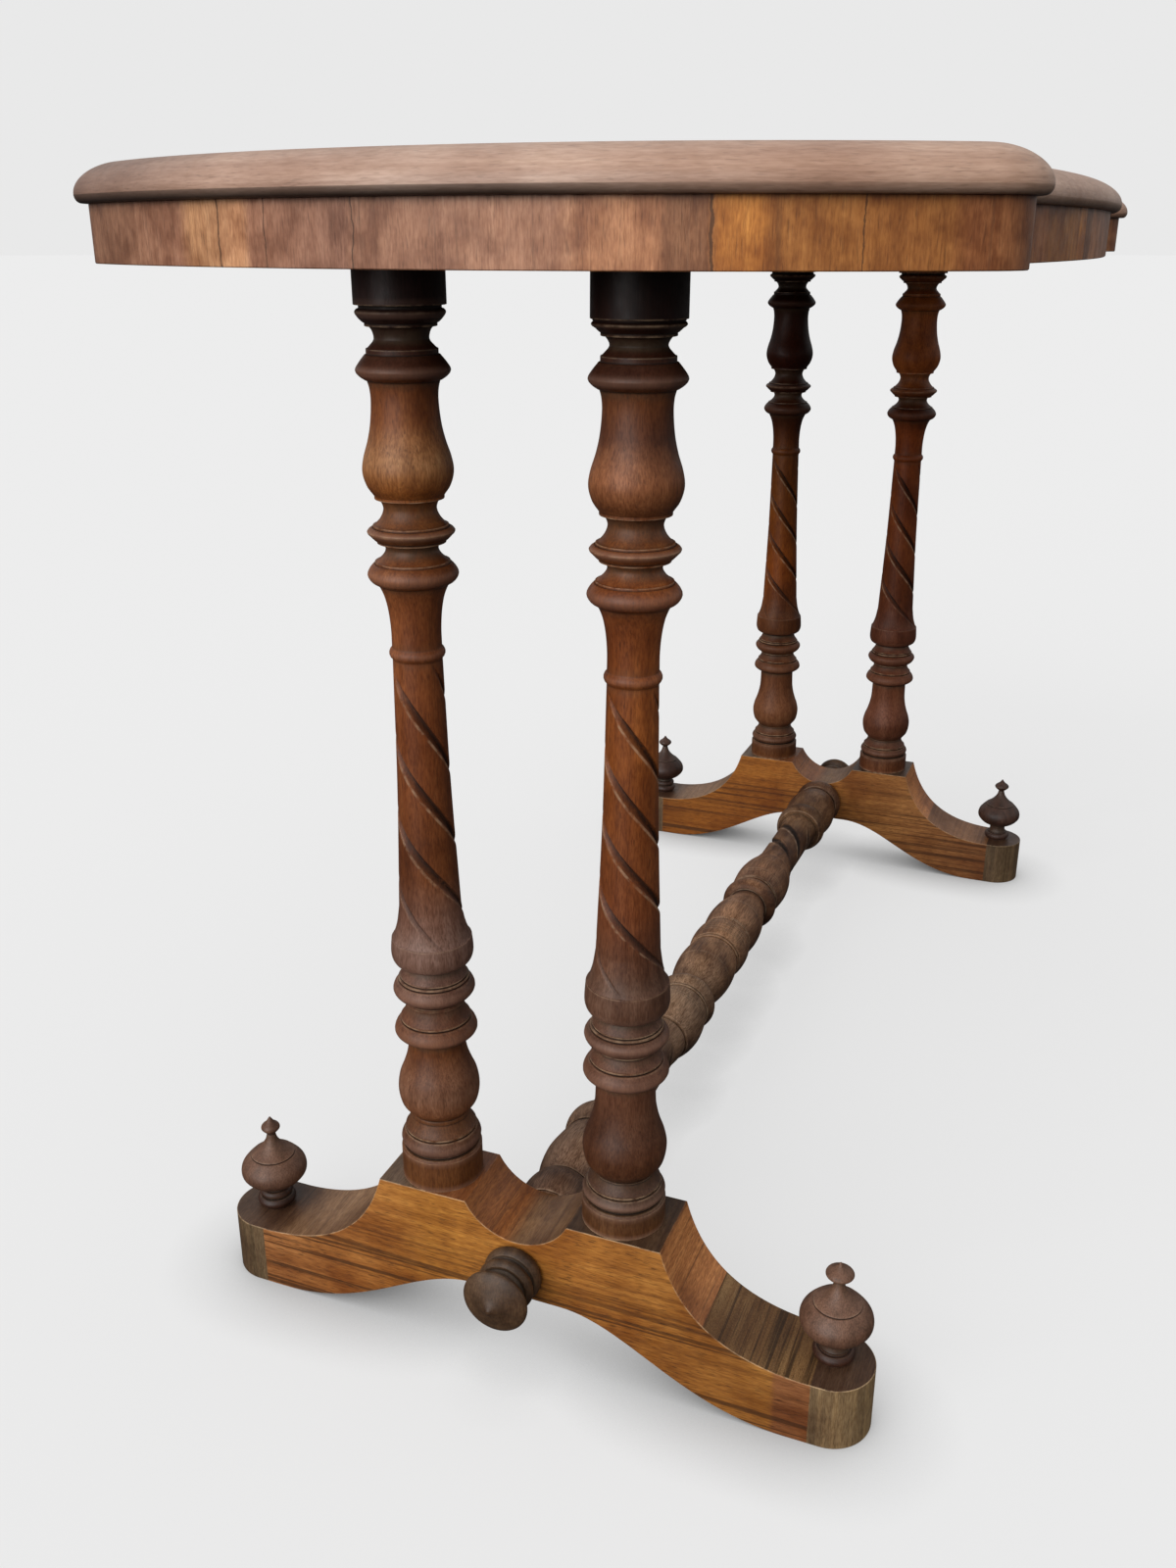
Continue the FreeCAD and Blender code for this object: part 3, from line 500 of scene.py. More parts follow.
def cutFlutes(bm, segments, low, high, lead, front, frontHeight, fadeLow, fadeHigh):
    # winds the shaft left-handed between two heights and scoops its flutes: steep above, easing out below;
    # the flutes are marked darker inside, most on the steep upper wall, grime with painted shade, and the
    # lower lip paler, partly wear and partly a painted highlight
    recess = bm.verts.layers.float["recess"]
    edge = bm.verts.layers.float["edge"]
    phase = front + 2 * pi * (frontHeight - low) / lead
    period = segments // flute["count"]
    turn, narrow = flute["deepestAt"], flute["narrowest"]
    for vert in bm.verts:
        radius = hypot(vert.co.x, vert.co.y)
        z = vert.co.z / mm
        angle = atan2(vert.co.y, vert.co.x)
        if low < z < high and radius > flute["coreRadius"] * mm:
            opened = min(1.0, (z - low) / fadeLow, (high - z) / fadeHigh)
            steps = (round(angle * segments / (2 * pi)) + period // 2) % period - period // 2
            across = steps / flute["halfSteps"] / (narrow + (1 - narrow) * opened)
            if -1 < across < 1:
                if across > turn:
                    scoop = 1 - ((across - turn) / (1 - turn)) ** 2
                else:
                    scoop = sin(pi / 2 * (across + 1) / (turn + 1))
                radius -= flute["depth"] * mm * scoop * opened
                # darkest toward the steep upper wall: grime with painted shade
                dark = opened ** 0.5 * (flute["bite"] * scoop + flute["steepWallShade"] * max(0.0, across))
                vert[recess] = max(vert[recess], dark)
            # the paler lower lip: partly wear, partly a painted highlight
            elif -flute["lipReach"] < across <= -1:
                vert[edge] = max(vert[edge], flute["lip"] * opened)
        angle += phase - 2 * pi * (min(max(z, low), high) - low) / lead
        vert.co.x = radius * cos(angle)
        vert.co.y = radius * sin(angle)


def patternLength(pattern):
    return sum(sizes[0][-1][0] if kind == "curve" else sizes[0] for kind, *sizes in pattern)


# Columns: base drum and torus, vase, two rings, flared band; fluted shaft; collar, bell, rings, vase, drum
column = {"x": 427.6, "y": 65.5, "bottom": 113, "height": 558, "baseDrum": 26.0, "topDrum": 24.2,
        "ring": 25.2, "lowerVase": 25.8, "upperVase": 24.6, "fillet": 19.0, "lip": 20.8, "arris": 21.9,
        "lowerNeck": 17.7, "upperNeck": 14.5, "shaft": (18.8, 15.7, 14.1), "collar": 15.9,
        "topLength": 40.8, "stepMm": 1.4, "segments": 150, "easeMm": 0.35, "fluteTail": 24,
        "fluteTop": 1.5, "fluteFade": (44, 20)}
lowerNeck = column["lowerNeck"]
upperNeck = column["upperNeck"]
ring = column["ring"]
fillet = column["fillet"]
shaftFoot, shaftMiddle, shaftHead = column["shaft"]


def turnedRing(length, peak, widest):
    # tight round below, longer slope above, then a cut line under a thin standing arris
    return [("curve", [(0, 18.6), (0.9, 20.8), (peak * 0.46, 23.5), (peak, widest),
            ((peak + length) / 2 + 0.4, widest - 0.9), (length, 22.4)]),
            ("drum", 0.9, 21.0), ("drum", 1.2, column["arris"])]


def hollowCone(length, foot, neck):
    return ("curve", [(0, foot), (length * 0.42, foot * 0.45 + neck * 0.55), (length, neck)])


def lowerTurning(base, vase, between, second, flare):  # from the foot up to the shaft
    drum, torus, slope, bead = base
    hollow, dark, step, seam = between
    cone, band, taper = flare
    return [
        ("drum", drum - 1.2, column["baseDrum"]), ("curve", [(0, 25.7), (1.2, 24.7)]), ("drum", 1.4, 22.6),
        ("curve", [(0, 23.8), (torus * 0.42, 25.7), (torus, 23.2)]), ("drum", 0.9, 21.8), ("drum", 1.3, 22.8),
        hollowCone(slope, 22.3, 18.2), ("arc", bead, 18.7, fillet, 18.7), ("curve", vase),
        *turnedRing(12.6, 5.2, 25.8), hollowCone(hollow, 21.4, lowerNeck),
        ("drum", dark, lowerNeck), ("drum", step, fillet), ("drum", seam, 18.1),
        *turnedRing(*second, 25.3), ("drum", 0.7, 20.0), ("drum", 0.8, 20.7),
        hollowCone(cone - 1.5, 20.4, 17.2),
        ("curve", [(0, 18.4), (0.9, 20.8), (2.6, 23.4), (6, 24.9), (10, ring), (band, 24.5)]),
        ("curve", [(0, 23.9), (4, 22.2), (10, 20.5), (taper, shaftFoot)]),
    ]


vaseFoot = [(0, 18.4), (3, 21.2), (7.5, 24.2)]
evenVase = vaseFoot + [(16.5, column["lowerVase"]), (26, 24.6), (33, 21.9), (40, 19.5), (47, 18.1),
        (53.9, 17.8)]
lowVase = vaseFoot + [(17.5, column["lowerVase"]), (25.5, 24.4), (32.5, 21.9), (39.5, 19.9), (48, 18.5),
        (65, 18.0)]
evenFoot = lowerTurning((22.4, 10.6, 8.4, 3.0), evenVase, (8.4, 2.0, 2.2, 0.9), (12.2, 6.0), (9.2, 18, 20.9))
lowFoot = lowerTurning((17, 8.0, 7.0, 0.9), lowVase, (6.6, 0.5, 0.9, 0.3), (11.4, 7.0), (8.6, 20, 20.9))


def upperTurning(scotia, bead, groove, grooveIn):
    # from the collar up to the frieze; the drum takes what is left of its length
    return [
        ("arc", 7, shaftHead, column["collar"], shaftHead),
        ("curve", [(0, 14.1), (10, 14.1), (20, 14.9), (28, 16.4), (33, 18.2), (36, 19.8)]),
        ("curve", [(0, 20.4), (2, 23.4), (5.5, ring), (9, 23.8), (11.5, 21.6)]), ("drum", 1.4, column["lip"]),
        ("curve", [(0, 19.8), (3, 16.4), (6.5, upperNeck), (10, 15.6)]), ("drum", 1.6, fillet),
        ("curve", [(0, 20.0), (2.6, 22.6), (4.8, 24.2), (7, 21.8)]), ("drum", 1.4, column["lip"]),
        ("curve", [(0, 19.6), (4, 16.2), (8.5, upperNeck), (12, 15.4), (14, 16.8)]), ("drum", 2, fillet),
        ("curve", [(0, 19.2), (5, 22.6), (12.5, column["upperVase"]), (20, 23.6), (29, 20.8), (38, 18.9),
            (49.5, 17.9), (56, 18.3), (60, 19.4)]),
        ("curve", [(0, 20.2), (2.2, 23.4), (5, ring), (8.5, 23.4), (13, 19.8)]), ("drum", 3, fillet),
        ("curve", [(0, 18.4), (2, 16.4), (4.6, upperNeck), (scotia - 2, 15.4), (scotia, 17.0)]),
        ("drum", 1.8, fillet),
        ("curve", [(0, 19.6), (2, 21.8), (bead - 1.7, 23.8), (bead, 22.4)]), ("drum", groove, grooveIn),
        ("drum", column["topLength"] - scotia - bead - groove, column["topDrum"]),
    ]


# lower and upper turning, flute lead, way a flute faces (degrees) at a height, shift at foot and head
columnsMade = {
    ("near", "left"): (evenFoot, upperTurning(11, 7, 1.8, 21.6), 136, -151.1, 426, (-2.3, 0.5)),
    ("near", "right"): (lowFoot, upperTurning(9.2, 5.3, 0.9, 23.0), 118, -160.3, 395.4, (2.7, -0.5)),
    ("far", "left"): (lowFoot, upperTurning(10, 6, 1.8, 21.6), 124, -166.3, 352.2, (-1.4, 4.6)),
    ("far", "right"): (lowFoot, upperTurning(10, 6, 1.8, 21.6), 126, -171, 391.8, (1.0, 0.2)),
}
for (end, side), (lower, upper, lead, front, frontHeight, (footShift, headShift)) in columnsMade.items():
    shaftLow = patternLength(lower)
    shaftHigh = column["height"] - patternLength(upper)
    length = shaftHigh - shaftLow
    shaft = ("curve", [(0, shaftFoot), (length / 2, shaftMiddle), (length, shaftHead)])
    bm = turnProfile(turnedPoints(lower + [shaft] + upper, column), column["segments"])
    cutFlutes(bm, column["segments"], shaftLow - column["fluteTail"], shaftHigh - column["fluteTop"], lead,
            radians(front), frontHeight - column["bottom"], *column["fluteFade"])
    slant = Matrix.Shear("XY", 4, (0, (headShift - footShift) / column["height"]))
    bmesh.ops.transform(bm, matrix=slant, verts=bm.verts)
    finishPiece(bm, end + side.title() + "Column", [legWalnut[end, side]],
            [end + "_" + side + "_column"],
            (column["x"] * endSign[end], column["y"] * sideSign[side] + footShift, column["bottom"]))

# Finials: foot ring, squat body with a scribed step, drawn-up spire and an acorn tip
finial = {"y": 199.5, "bottom": 45, "back": {"near": 3, "far": 0}, "segments": 72, "stepMm": 0.7,
        "easeMm": 0.3}
finialTips = {("near", "left"): 6.4, ("near", "right"): 8.6, ("far", "left"): 7.4, ("far", "right"): 7.4}
footBeads = {"left": [("arc", 4.6, 10.8, 11.6, 10.0), ("arc", 3.8, 8.8, 8.0, 9.0)],
        "right": [("arc", 8.4, 9.0, 8.0, 9.0)]}
for (end, side), tip in finialTips.items():
    pattern = [
        ("drum", 1.0, 10.4), ("arc", 7.0, 11.0, 13.2, 11.2), ("drum", 1.0, 9.8), *footBeads[side],
        ("curve", [(0, 10.4), (2.6, 16.4), (8, 21.6), (12, 22.5), (16.4, 21.4), (21.4, 17.6), (23.4, 15.6)]),
        ("drum", 0.8, 14.4), ("curve", [(0, 15.0), (3, 10.8), (7, 6.8), (11, 4.2), (15.8, 2.8)]),
        ("curve", [(0, 2.8), (2, tip * 0.72), (4, tip * 0.97), (5.2, tip), (6.8, tip * 0.87), (9, tip * 0.48),
            (11, 1.7), (13, 0.5)]),
    ]
    bm = turnProfile(turnedPoints(pattern, finial), finial["segments"])
    x = column["x"] * endSign[end] + finial["back"][end]
    finishPiece(bm, end + side.title() + "Finial", [finialWalnut if end == "near" else finialShaded],
            [end + "_" + side + "_finial"],
            (x, finial["y"] * sideSign[side], finial["bottom"]))

# Knobs on the outer faces of the feet: back ring, neck, cone-fronted disc with a small point
knob = {"face": 454.1, "z": 70.75, "segments": 80, "stepMm": 0.7, "easeMm": 0.3}
knobPoints = turnedPoints([
    ("arc", 9, 17, 19.4, 17), ("arc", 3, 16, 15.2, 16), ("arc", 7, 17, 18.6, 16.2),
    ("arc", 6, 14.4, 13, 14.4),
    ("curve", [(0, 15), (2.5, 19.6), (5, 21.5), (7, 21.1), (9.5, 17.5), (12, 11.4), (14, 6), (15.2, 3.8),
        (17, 1)]),
], knob)
for end, sign in endSign.items():
    bm = turnProfile(knobPoints, knob["segments"])
    turnRound(bm, 90 * sign, "Y")
    finishPiece(bm, end + "Knob", [knobWalnut], [end + "_knob"],
            (knob["face"] * sign, 0, knob["z"]))

# Stretcher: ring in the middle, long bulbs and tori, a step down to a fluted length, an end bulb; the pattern
# sits off centre, so the last bead at the near end is longer
stretcher = {"half": 401.1, "off": 6, "bow": 3.4, "z": 70.75, "radius": 25.5, "torus": 26.2, "neck": 17.8,
        "shaft": 18.0, "fillet": 19.8, "segments": 90, "stepMm": 1.1, "easeMm": 0.35, "scribeDepth": 0.9,
        "scribed": (4.5, 8.5, 54, 129, 132.6), "scribeWidth": 1.0, "lead": 126, "fluteFade": (14, 14),
        "outer": {"near": 47, "far": 59}, "last": 16}
torus = stretcher["torus"]


def middleTurning(outer):
    bulb = ((0, 23.6), (0.24, 25.3), (0.5, torus), (0.75, 25.0), (0.92, 23.0), (1, 21.8))
    return [
        ("arc", 16, torus, 25.8, 24.2), ("drum", 2.2, 21.4), ("drum", 1.6, 23.8), ("drum", 2.0, 21.4),
        ("curve", [(0, 23.2), (12, 25.0), (26, stretcher["radius"]), (42, 24.0), (56, 21.0), (66, 18.4),
            (71.5, stretcher["neck"])]),
        ("curve", [(0, 19.6), (2.0, 23.4), (8, torus), (14, 25.2), (18, 23.4)]),
        ("drum", 2.2, 21.0), ("drum", 1.6, 23.8), ("drum", 2.0, 21.0),
        ("curve", [(share * outer, r) for share, r in bulb]),
        ("drum", 2.4, 16.4), ("curve", [(0, 20.4), (9, 19.8), (18, stretcher["shaft"] + 0.4)]),
    ]


def endTurning(last):
    return [
        ("curve", [(0, stretcher["shaft"]), (6, 19.2), (10, 19.7)]), ("drum", 1.5, 17.2),
        ("arc", 22.5, 23.4, torus, 23.0),
        ("curve", [(0, 21.8), (4, 23.2), (18, 25.4), (29, 26.4), (42, 25.2), (52, 22.8), (57, 21.0)]),
        ("drum", 2.4, stretcher["fillet"]), ("arc", last, 22.4, stretcher["radius"], 23),
    ]


def scribe(points):  # fine lines cut with the point of the tool, three points to a line
    cut = stretcher["scribeWidth"] / 2
    for at in stretcher["scribed"]:
        radius = next(r for z, r in points if z > at)
        points = [p for p in points if abs(p[0] - at) > 1.5 * cut]
        points += [(at - cut, radius), (at, radius - stretcher["scribeDepth"]), (at + cut, radius)]
        points.sort(key=lambda p: p[0])
    return points


def halfBar(end):  # profile points of one half, and where its fluted length starts and ends
    middle = middleTurning(stretcher["outer"][end])
    last = stretcher["last"] + (2 * stretcher["off"] if end == "near" else 0)
    low = patternLength(middle)
    high = stretcher["half"] - stretcher["off"] - patternLength(endTurning(stretcher["last"]))
    twist = ("curve", [(share * (high - low), stretcher["shaft"]) for share in (0, 0.5, 1)])
    points = turnedPoints(middle + [twist] + endTurning(last), stretcher)
    return scribe(points[1:]), low, high


nearHalf, nearLow, nearHigh = halfBar("near")
farHalf, farLow, farHigh = halfBar("far")
bm = turnProfile([(-z, r) for z, r in reversed(nearHalf[1:])] + farHalf, stretcher["segments"])
for low, high, start in ((farLow, farHigh, farLow), (-nearHigh, -nearLow, -nearLow)):
    cutFlutes(bm, stretcher["segments"], low, high, stretcher["lead"], 0.0, start, *stretcher["fluteFade"])
turnRound(bm, 90, "Y")
for vert in bm.verts:  # the bar has bent a little in its length
    vert.co.y += stretcher["bow"] * mm * (1 - (vert.co.x / (stretcher["half"] * mm)) ** 2)
finishPiece(bm, "stretcherBar", [stretcherWalnut], ["stretcher"],
        (stretcher["off"], 0, stretcher["z"]))

# Feet: one outline from the middle of the dip to the middle of the arch, mirrored, thickened, toes rounded
foot = {"length": 452, "thickness": 53, "height": 113, "toeHeight": 45, "toePad": 48, "toeJoint": 7.5,
        "archHeight": 50, "archFlat": 60, "dipDepth": 21.5, "platform": 61.5, "stripe": 28, "slopeEnd": 186.5,
        "slopePulls": (0.53, 0.11, 0.63, 0.04), "archPulls": (0.30, 0.46), "arris": 0.5, "toeSegments": 18,
        "dipSteps": 12, "slopeSteps": 32, "archSteps": 28, "lying": 0.3, "arrisDegrees": 50,
        "sharpDegrees": 18}


def footHalf():
    high, toe, flat = foot["height"], foot["toeHeight"], foot["archFlat"] / 2
    platformIn = column["y"] - foot["platform"] / 2
    platformOut = column["y"] + foot["platform"] / 2
    tip = foot["length"] / 2
    padStart = tip - foot["toePad"]
    run = foot["slopeEnd"] - platformOut
    drop = high - toe
    startPull, startLean, endPull, endRise = foot["slopePulls"]
    archStart, archEnd = foot["archPulls"]
    archRun = padStart - flat
    dipRadius = (platformIn ** 2 + foot["dipDepth"] ** 2) / (2 * foot["dipDepth"])
    slope = [(platformOut, high), (platformOut + startLean * run, high - startPull * drop),
            (foot["slopeEnd"] - endPull * run, toe + endRise * drop), (foot["slopeEnd"], toe)]
    arch = [(padStart, 0), (padStart - archEnd * archRun, 0),
            (flat + archStart * archRun, foot["archHeight"]), (flat, foot["archHeight"])]
    points = []
    for k in range(foot["dipSteps"] + 1):
        y = platformIn * k / foot["dipSteps"]
        points.append((y, high - foot["dipDepth"] + dipRadius - sqrt(dipRadius ** 2 - y ** 2)))
    points.append((platformOut, high))
    points += [tuple(p) for p in interpolate_bezier(*map(Vector, slope), foot["slopeSteps"] + 1)[1:]]
    points += [(tip, toe), (tip, 0), (padStart, 0)]
    points += [tuple(p) for p in interpolate_bezier(*map(Vector, arch), foot["archSteps"] + 1)[1:]]
    return points


def buildFoot(end, sign):
    thick = foot["thickness"]
    bm = bmesh.new()
    edgeLayer = bm.faces.layers.float.new("edge")
    half = footHalf()
    outline = half + [(-y, z) for y, z in reversed(half)][:-1]
    verts = [bm.verts.new((-thick / 2 * mm, y * mm, z * mm)) for y, z in outline]
    side = bm.faces.new(verts)
    grown = bmesh.ops.extrude_face_region(bm, geom=[side])["geom"]
    moving = [item for item in grown if isinstance(item, bmesh.types.BMVert)]
    bmesh.ops.translate(bm, verts=moving, vec=(thick * mm, 0, 0))
    bmesh.ops.recalc_face_normals(bm, faces=bm.faces)
    tip = foot["length"] / 2 * mm
    toeEdges = [e for e in bm.edges if all(abs(abs(v.co.y) - tip) < 1e-6 for v in e.verts)
            and abs(e.verts[0].co.z - e.verts[1].co.z) > 0.01]
    bmesh.ops.bevel(bm, geom=toeEdges, offset=thick / 2 * mm - 1e-5, affect="EDGES",
            segments=foot["toeSegments"], profile=0.5, material=-1)
    toeJoint = foot["length"] / 2 - thick / 2 - foot["toeJoint"]
    stripeFrom = column["y"] + foot["platform"] / 2 + foot["stripe"]
    for y in (toeJoint, -toeJoint, -stripeFrom):
        bmesh.ops.bisect_plane(bm, geom=bm.verts[:] + bm.edges[:] + bm.faces[:], dist=1e-7,
                plane_co=(0, y * mm, 0), plane_no=(0, 1, 0))
    faceAt, topAt, slopeAt, toeAt, underAt, darkToeAt = range(6)
    for face in bm.faces:
        y = face.calc_center_median().y / mm
        if face.normal.z < -foot["lying"]:
            face.material_index = underAt
        elif face.normal.z > foot["lying"] or (abs(face.normal.x) < 0.5 and abs(y) < toeJoint):
            face.material_index = slopeAt if -toeJoint < y < -stripeFrom else topAt
        elif abs(y) < toeJoint:
            face.material_index = faceAt
        else:
            face.material_index = darkToeAt if y > 0 or end == "far" else toeAt
    arrises = [e for e in bm.edges if e.calc_face_angle(0) > radians(foot["arrisDegrees"]) and (
        max(abs(f.normal.x) for f in e.link_faces) > 0.5
        or max(f.material_index for f in e.link_faces) >= toeAt)]
    bevelled = bmesh.ops.bevel(bm, geom=arrises, offset=foot["arris"] * mm, affect="EDGES", segments=2,
            profile=0.5, material=-1)
    for face in bevelled["faces"]:
        face[edgeLayer] = 1.0
    bmesh.ops.recalc_face_normals(bm, faces=bm.faces)
    face, slope = (footFaceWalnut, footStripeWalnut) if end == "near" else (farFaceWalnut, farSlopeWalnut)
    materials = [face, footTopWalnut, slope, toeWrapWalnut, oldPine, toeWrapDark]
    pieces = [end + "_foot_" + part for part in ("core", "face_veneers", "top_veneers", "toe_wraps")]
    finishPiece(bm, end + "Foot", materials, pieces, (column["x"] * sign, 0, 0),
            foot["sharpDegrees"])


for end, sign in endSign.items():
    buildFoot(end, sign)

# Moulding and frieze: sections carried round the plan, a bow at each end, a lobe between coves at each side
plan = {"reach": 525, "halfWidth": 256, "cornerRadius": 30, "cornerSetback": 94, "lobeStand": 10,
        "lobeRadius": 1300, "coveRadius": 70, "stepMm": 4.0}
moulding = {"top": 720, "bottom": 699, "overhang": 7, "width": 30, "flat": 3, "under": (3.6, 4.4),
        "pull": 0.55, "sideShade": 0.45, "fadeFrom": -40, "fadeTo": -240}
frieze = {"top": 699, "bottom": 669, "veneer": 1.5, "arris": 0.5}

cornerCentre = Vector((plan["reach"] - plan["cornerSetback"],
        plan["halfWidth"] - plan["lobeStand"] - plan["cornerRadius"], 0))
lobeCentre = Vector((0, plan["halfWidth"] - plan["lobeRadius"], 0))
bowRadius = ((plan["cornerSetback"] ** 2 + cornerCentre.y ** 2 - plan["cornerRadius"] ** 2)
        / (2 * (plan["cornerSetback"] - plan["cornerRadius"])))
bowCentre = Vector((plan["reach"] - bowRadius, 0, 0))
lobeToCorner = cornerCentre - lobeCentre
lobeReach = plan["lobeRadius"] + plan["coveRadius"]
cornerReach = plan["cornerRadius"] + plan["coveRadius"]
alongGap = (lobeReach ** 2 - cornerReach ** 2 + lobeToCorner.length_squared) / (2 * lobeToCorner.length)
offGap = sqrt(lobeReach ** 2 - alongGap ** 2)
gapWay = lobeToCorner.normalized()
coveCentre = lobeCentre + gapWay * alongGap + Vector((-gapWay.y, gapWay.x, 0)) * offGap


def turnOf(vector):
    return atan2(vector.y, vector.x)


bowTurn = turnOf(cornerCentre - bowCentre)
cornerTurn = turnOf(coveCentre - cornerCentre)
lobeTurn = turnOf(coveCentre - lobeCentre)
flipY = Vector((1, -1, 1))
flipX = Vector((-1, 1, 1))
# each arc: centre, radius, side that the section's offset grows to, start angle, sweep
endArcs = [
    (cornerCentre * flipY, plan["cornerRadius"], 1, -cornerTurn, cornerTurn - bowTurn),
    (bowCentre, bowRadius, 1, -bowTurn, 2 * bowTurn),
    (cornerCentre, plan["cornerRadius"], 1, bowTurn, cornerTurn - bowTurn),
]
sideArcs = [
    (coveCentre, plan["coveRadius"], -1, cornerTurn - pi, lobeTurn - cornerTurn),
    (lobeCentre, plan["lobeRadius"], 1, lobeTurn, pi - 2 * lobeTurn),
    (coveCentre * flipX, plan["coveRadius"], -1, -lobeTurn, lobeTurn - cornerTurn),
]


def sweepSection(section, arcs, runSign):  # section: closed list of (offset, height, recess)
    bm = bmesh.new()
    recess = bm.verts.layers.float.new("recess")
    runLayer = bm.verts.layers.float.new("run")
    centre, radius, side, start, sweep = arcs[0]
    way = Vector((cos(start), sin(start), 0))
    loop = []
    for offset, height, hollow in section:
        vert = bm.verts.new((centre + way * (radius + side * offset) + upward * height) * mm)
        vert[recess] = hollow
        loop.append(vert)
    firstEdges = [bm.edges.new(pair) for pair in zip(loop, loop[1:] + loop[:1])]
    gone = 0.0
    geometry = loop + firstEdges
    for centre, radius, side, start, sweep in arcs:
        known = set(bm.verts)
        steps = max(6, round(abs(sweep) * radius / plan["stepMm"]))
        spun = bmesh.ops.spin(bm, geom=geometry, cent=centre * mm, axis=upward, dvec=origin, angle=sweep,
                steps=steps, use_merge=False, use_duplicate=False)
        geometry = spun["geom_last"]
        for vert in set(bm.verts) - known:
            turned = turnOf(vert.co - centre * mm) - start
            turned = (turned + pi) % (2 * pi) - pi
            vert[runLayer] = gone + abs(turned) * radius * mm
        gone += abs(sweep) * radius * mm
    lastEdges = [item for item in geometry if isinstance(item, bmesh.types.BMEdge)]
    bmesh.ops.edgenet_fill(bm, edges=firstEdges)
    bmesh.ops.edgenet_fill(bm, edges=lastEdges)
    for vert in bm.verts:
        vert[runLayer] = (vert[runLayer] - gone / 2) * runSign
    return weld(bm)


def mouldingSection():
    # undercut round below a crisp nose and the underside, marked dark for painted shade; long ovolo above,
    # narrow flat against the veneered field
    nose, pull = moulding["overhang"], moulding["pull"]
    bottom, top = moulding["bottom"], moulding["top"]
    inner = nose - moulding["width"]
    crown = inner + moulding["flat"]
    deep, tall = moulding["under"]
    low = bottom + tall
    rise = top - low
    section = [(inner, bottom, 0.0), (-3.0, bottom, 1.0), (0.5, bottom, 1.0)]
    for k in range(8):
        turn = radians(-90 + 12 * k)
        section.append((nose - deep * (1 - cos(turn)), low + tall * sin(turn), 1.0 - 0.06 * k))
    section.append((nose - 0.02, low - 0.25, 0.5))
    ovolo = interpolate_bezier(Vector((nose, low)), Vector((nose, low + pull * rise)),
            Vector((crown + (1 - pull) * (nose - crown), top)), Vector((crown, top)), 23)
    section += [(p.x, p.y, 0.0) for p in ovolo]
    section.append((inner, top, 0.0))
    return section


def fadeUndercut(bm, isEnd):
    # the painted shade below the nose thins out toward the right-hand corner and along the sides, where the
    # surface turns to the light
    recess = bm.verts.layers.float["recess"]
    runLayer = bm.verts.layers.float["run"]
    span = moulding["fadeFrom"] - moulding["fadeTo"]
    for vert in bm.verts:
        share = (vert[runLayer] / mm - moulding["fadeTo"]) / span
        vert[recess] *= min(1.0, max(moulding["sideShade"], share)) if isEnd else moulding["sideShade"]


def friezeSection():
    # the top few millimetres are marked dark for a painted shadow under the moulding
    cut = frieze["arris"]
    back = -frieze["veneer"]
    low, high = frieze["bottom"], frieze["top"]
    return [(back, low, 0.2), (-cut, low, 0.0), (0, low + cut, 0.0), (0, high - 3, 0.0), (0, high - 0.5, 0.3),
            (0, high, 0.6), (back, high, 0.0)]


lengths = {"far_end": (endArcs, 0, 1), "near_end": (endArcs, 180, -1),
        "left_side": (sideArcs, 0, 1), "right_side": (sideArcs, 180, 1)}
for place, (arcs, turn, runSign) in lengths.items():
    where, kind = place.split("_")
    for part, section, material, slot, sharp in (
            ("moulding", mouldingSection(), mouldingWalnut, "edge_moulding", 40),
            ("frieze_veneer", friezeSection(), friezeWalnut, "frieze_veneer", 30)):
        bm = sweepSection(section, arcs, runSign)
        if part == "moulding":
            fadeUndercut(bm, kind == "end")
        turnRound(bm, turn, "Z")
        name = where + kind.title() + part.title().replace("_", "")
        finishPiece(bm, name, [material], [place + "_" + part], sharpDegrees=sharp)

# CAD nodes that keep their own shape
kept = {
    oldPine: ("top_core", "glue_blocks", "left_side_frieze_core", "right_side_frieze_core"),
    pineAcross: ("near_bearer", "far_bearer", "near_end_frieze_core", "far_end_frieze_core"),
    fieldWalnut: ("top_field_veneer",), bandWalnut: ("board_band",), boxwoodLine: ("board_stringing",),
    mapleSquare: ("board_light_squares",), rosewoodSquare: ("board_dark_squares",),
    dullIron: ("bearer_screws",),
}
for material, names in kept.items():
    for name in names:
        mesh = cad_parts[name].data
        mesh.materials.clear()
        mesh.materials.append(material)
    print(material.name, "on", *names)

# Pale floor that glows a little, so that shadows stay light, and throws nothing back up at the table
stage = {"floorRadius": 60.0, "floorTone": "#787878", "floorGlow": 0.63, "backdrop": "#e9e9e9",
        "ground": 0.05, "horizon": 0.35, "zenith": 1.0, "contactMm": 60}
white = (1, 1, 1, 1)
floorMaterial, tree = newMaterial("paleFloor")
near = addNode(tree, "AmbientOcclusion", {"Distance": stage["contactMm"] * mm}, samples=8).outputs["AO"]
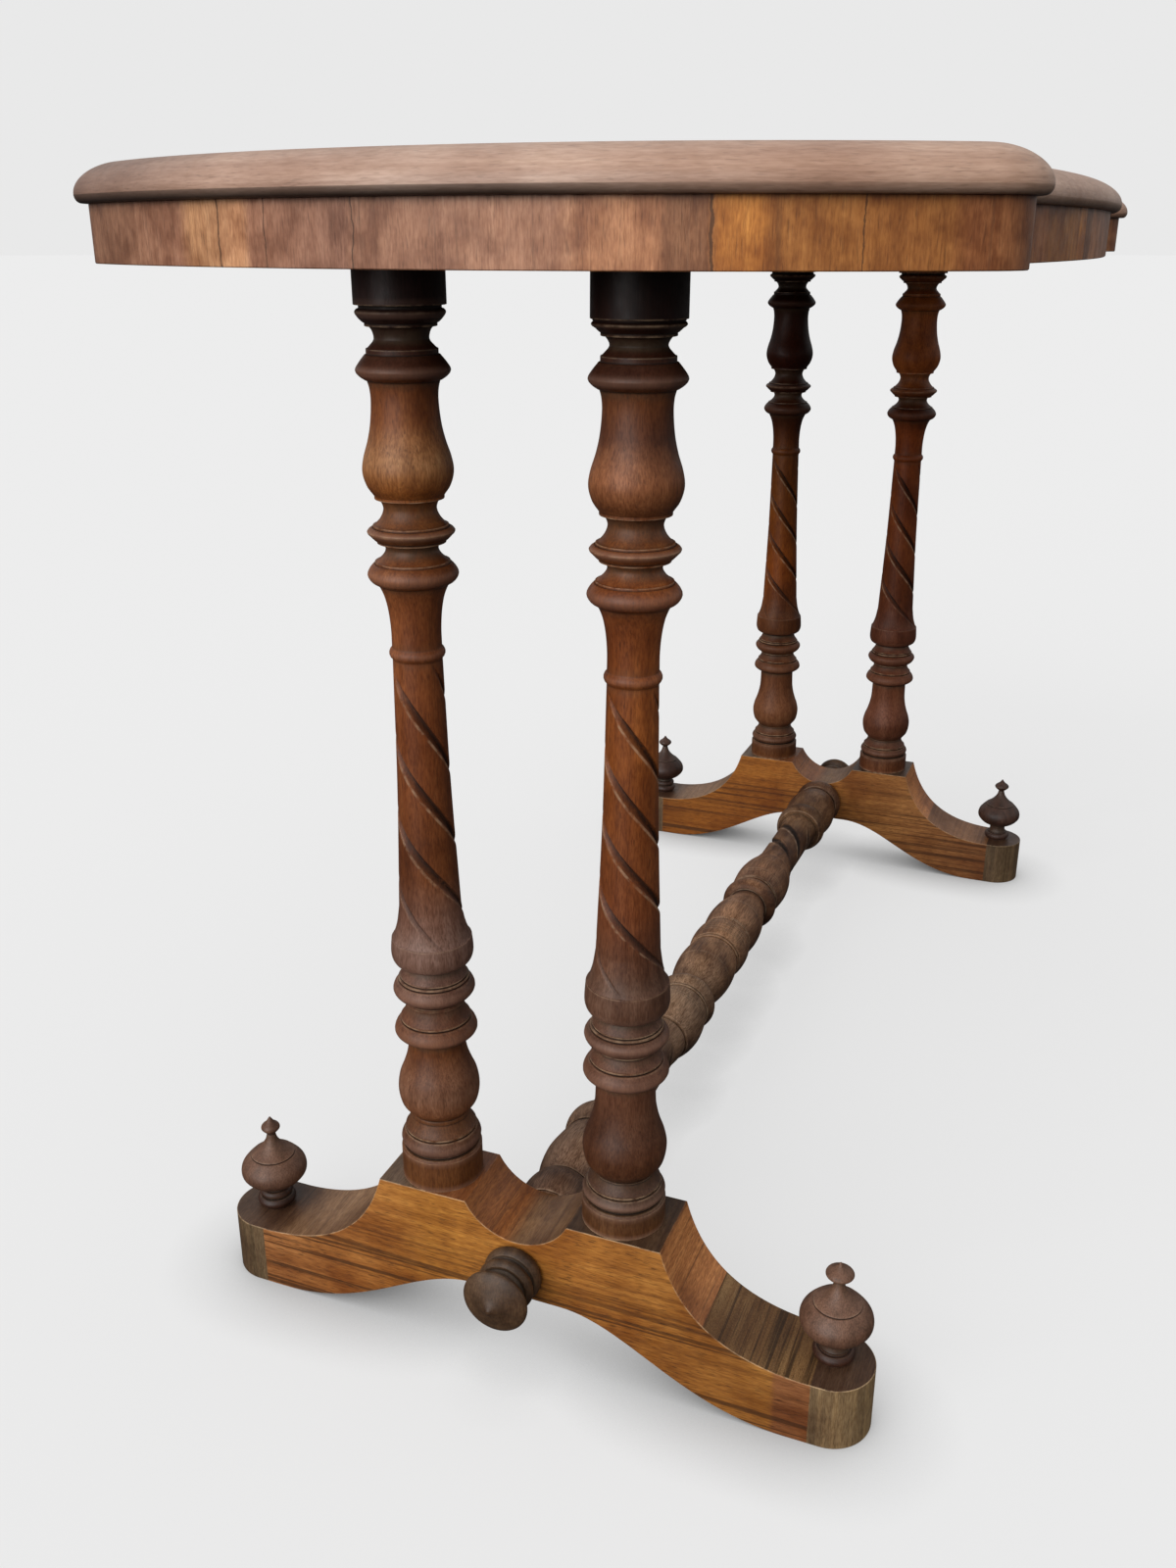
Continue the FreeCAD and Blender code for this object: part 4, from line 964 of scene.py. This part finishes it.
# the glow fades where the table comes close: a painted contact shadow
glow = addNode(tree, "Math", {0: near, 1: stage["floorGlow"]}, operation="MULTIPLY")
shader = addNode(tree, "BsdfPrincipled", {
    "Base Color": linearColour(stage["floorTone"]), "Roughness": 0.9, "Specular IOR Level": 0.0,
    "Emission Color": white, "Emission Strength": glow})
addNode(tree, "OutputMaterial", {"Surface": shader})
bm = bmesh.new()
bmesh.ops.create_circle(bm, cap_ends=True, segments=96, radius=stage["floorRadius"])
floor = addToScene("floor", makeMesh(bm, "floor", [floorMaterial]))
floor.visible_diffuse = False
floor.visible_glossy = False
floor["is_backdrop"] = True

# Studio sky: bright overhead, dim at the sides; the camera itself sees a plain pale backdrop
world = bpy.data.worlds.new("studioSky")
scene.world = world
world.use_nodes = True
tree = world.node_tree
tree.nodes.clear()
direction = addNode(tree, "TexCoord").outputs["Generated"]
height = addNode(tree, "SeparateXYZ", {0: direction}).outputs["Z"]
above = addNode(tree, "MapRange", {"Value": height, "To Min": stage["horizon"], "To Max": stage["zenith"]})
below = addNode(tree, "Math", {0: height, 1: 0.0}, operation="LESS_THAN")
power = addNode(tree, "Mix", {0: below, 2: above, 3: stage["ground"]})
sky = addNode(tree, "Background", {"Color": white, "Strength": power})
backdrop = addNode(tree, "Background", {"Color": linearColour(stage["backdrop"]), "Strength": 1.0})
seen = addNode(tree, "LightPath").outputs["Is Camera Ray"]
both = addNode(tree, "MixShader", {0: seen, 1: sky, 2: backdrop})
addNode(tree, "OutputWorld", {"Surface": both})

# One broad soft light from the front left
key = {"from": (-1.0, 0.27, 0.42), "power": 3.0, "spread": 60, "colour": "#ffffff"}
lamp = bpy.data.lights.new("keySoftbox", "SUN")
lamp.energy = key["power"]
lamp.angle = radians(key["spread"])
lamp.color = linearColour(key["colour"])[:3]
addToScene("keySoftbox", lamp, key["from"], -Vector(key["from"]))

view = {"place": (-1.1011, -0.3068, 0.6828), "yaw": 21.69, "down": 21.42, "lens": 32.06, "sensor": 36}
lensData = bpy.data.cameras.new("photoCamera")
lensData.lens = view["lens"]
lensData.sensor_width = view["sensor"]
yaw, down = radians(view["yaw"]), radians(view["down"])
ahead = Vector((cos(yaw) * cos(down), sin(yaw) * cos(down), -sin(down)))
scene.camera = addToScene("photoCamera", lensData, view["place"], ahead)
scene.view_settings.view_transform = "Standard"
print("light and camera set")

low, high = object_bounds()
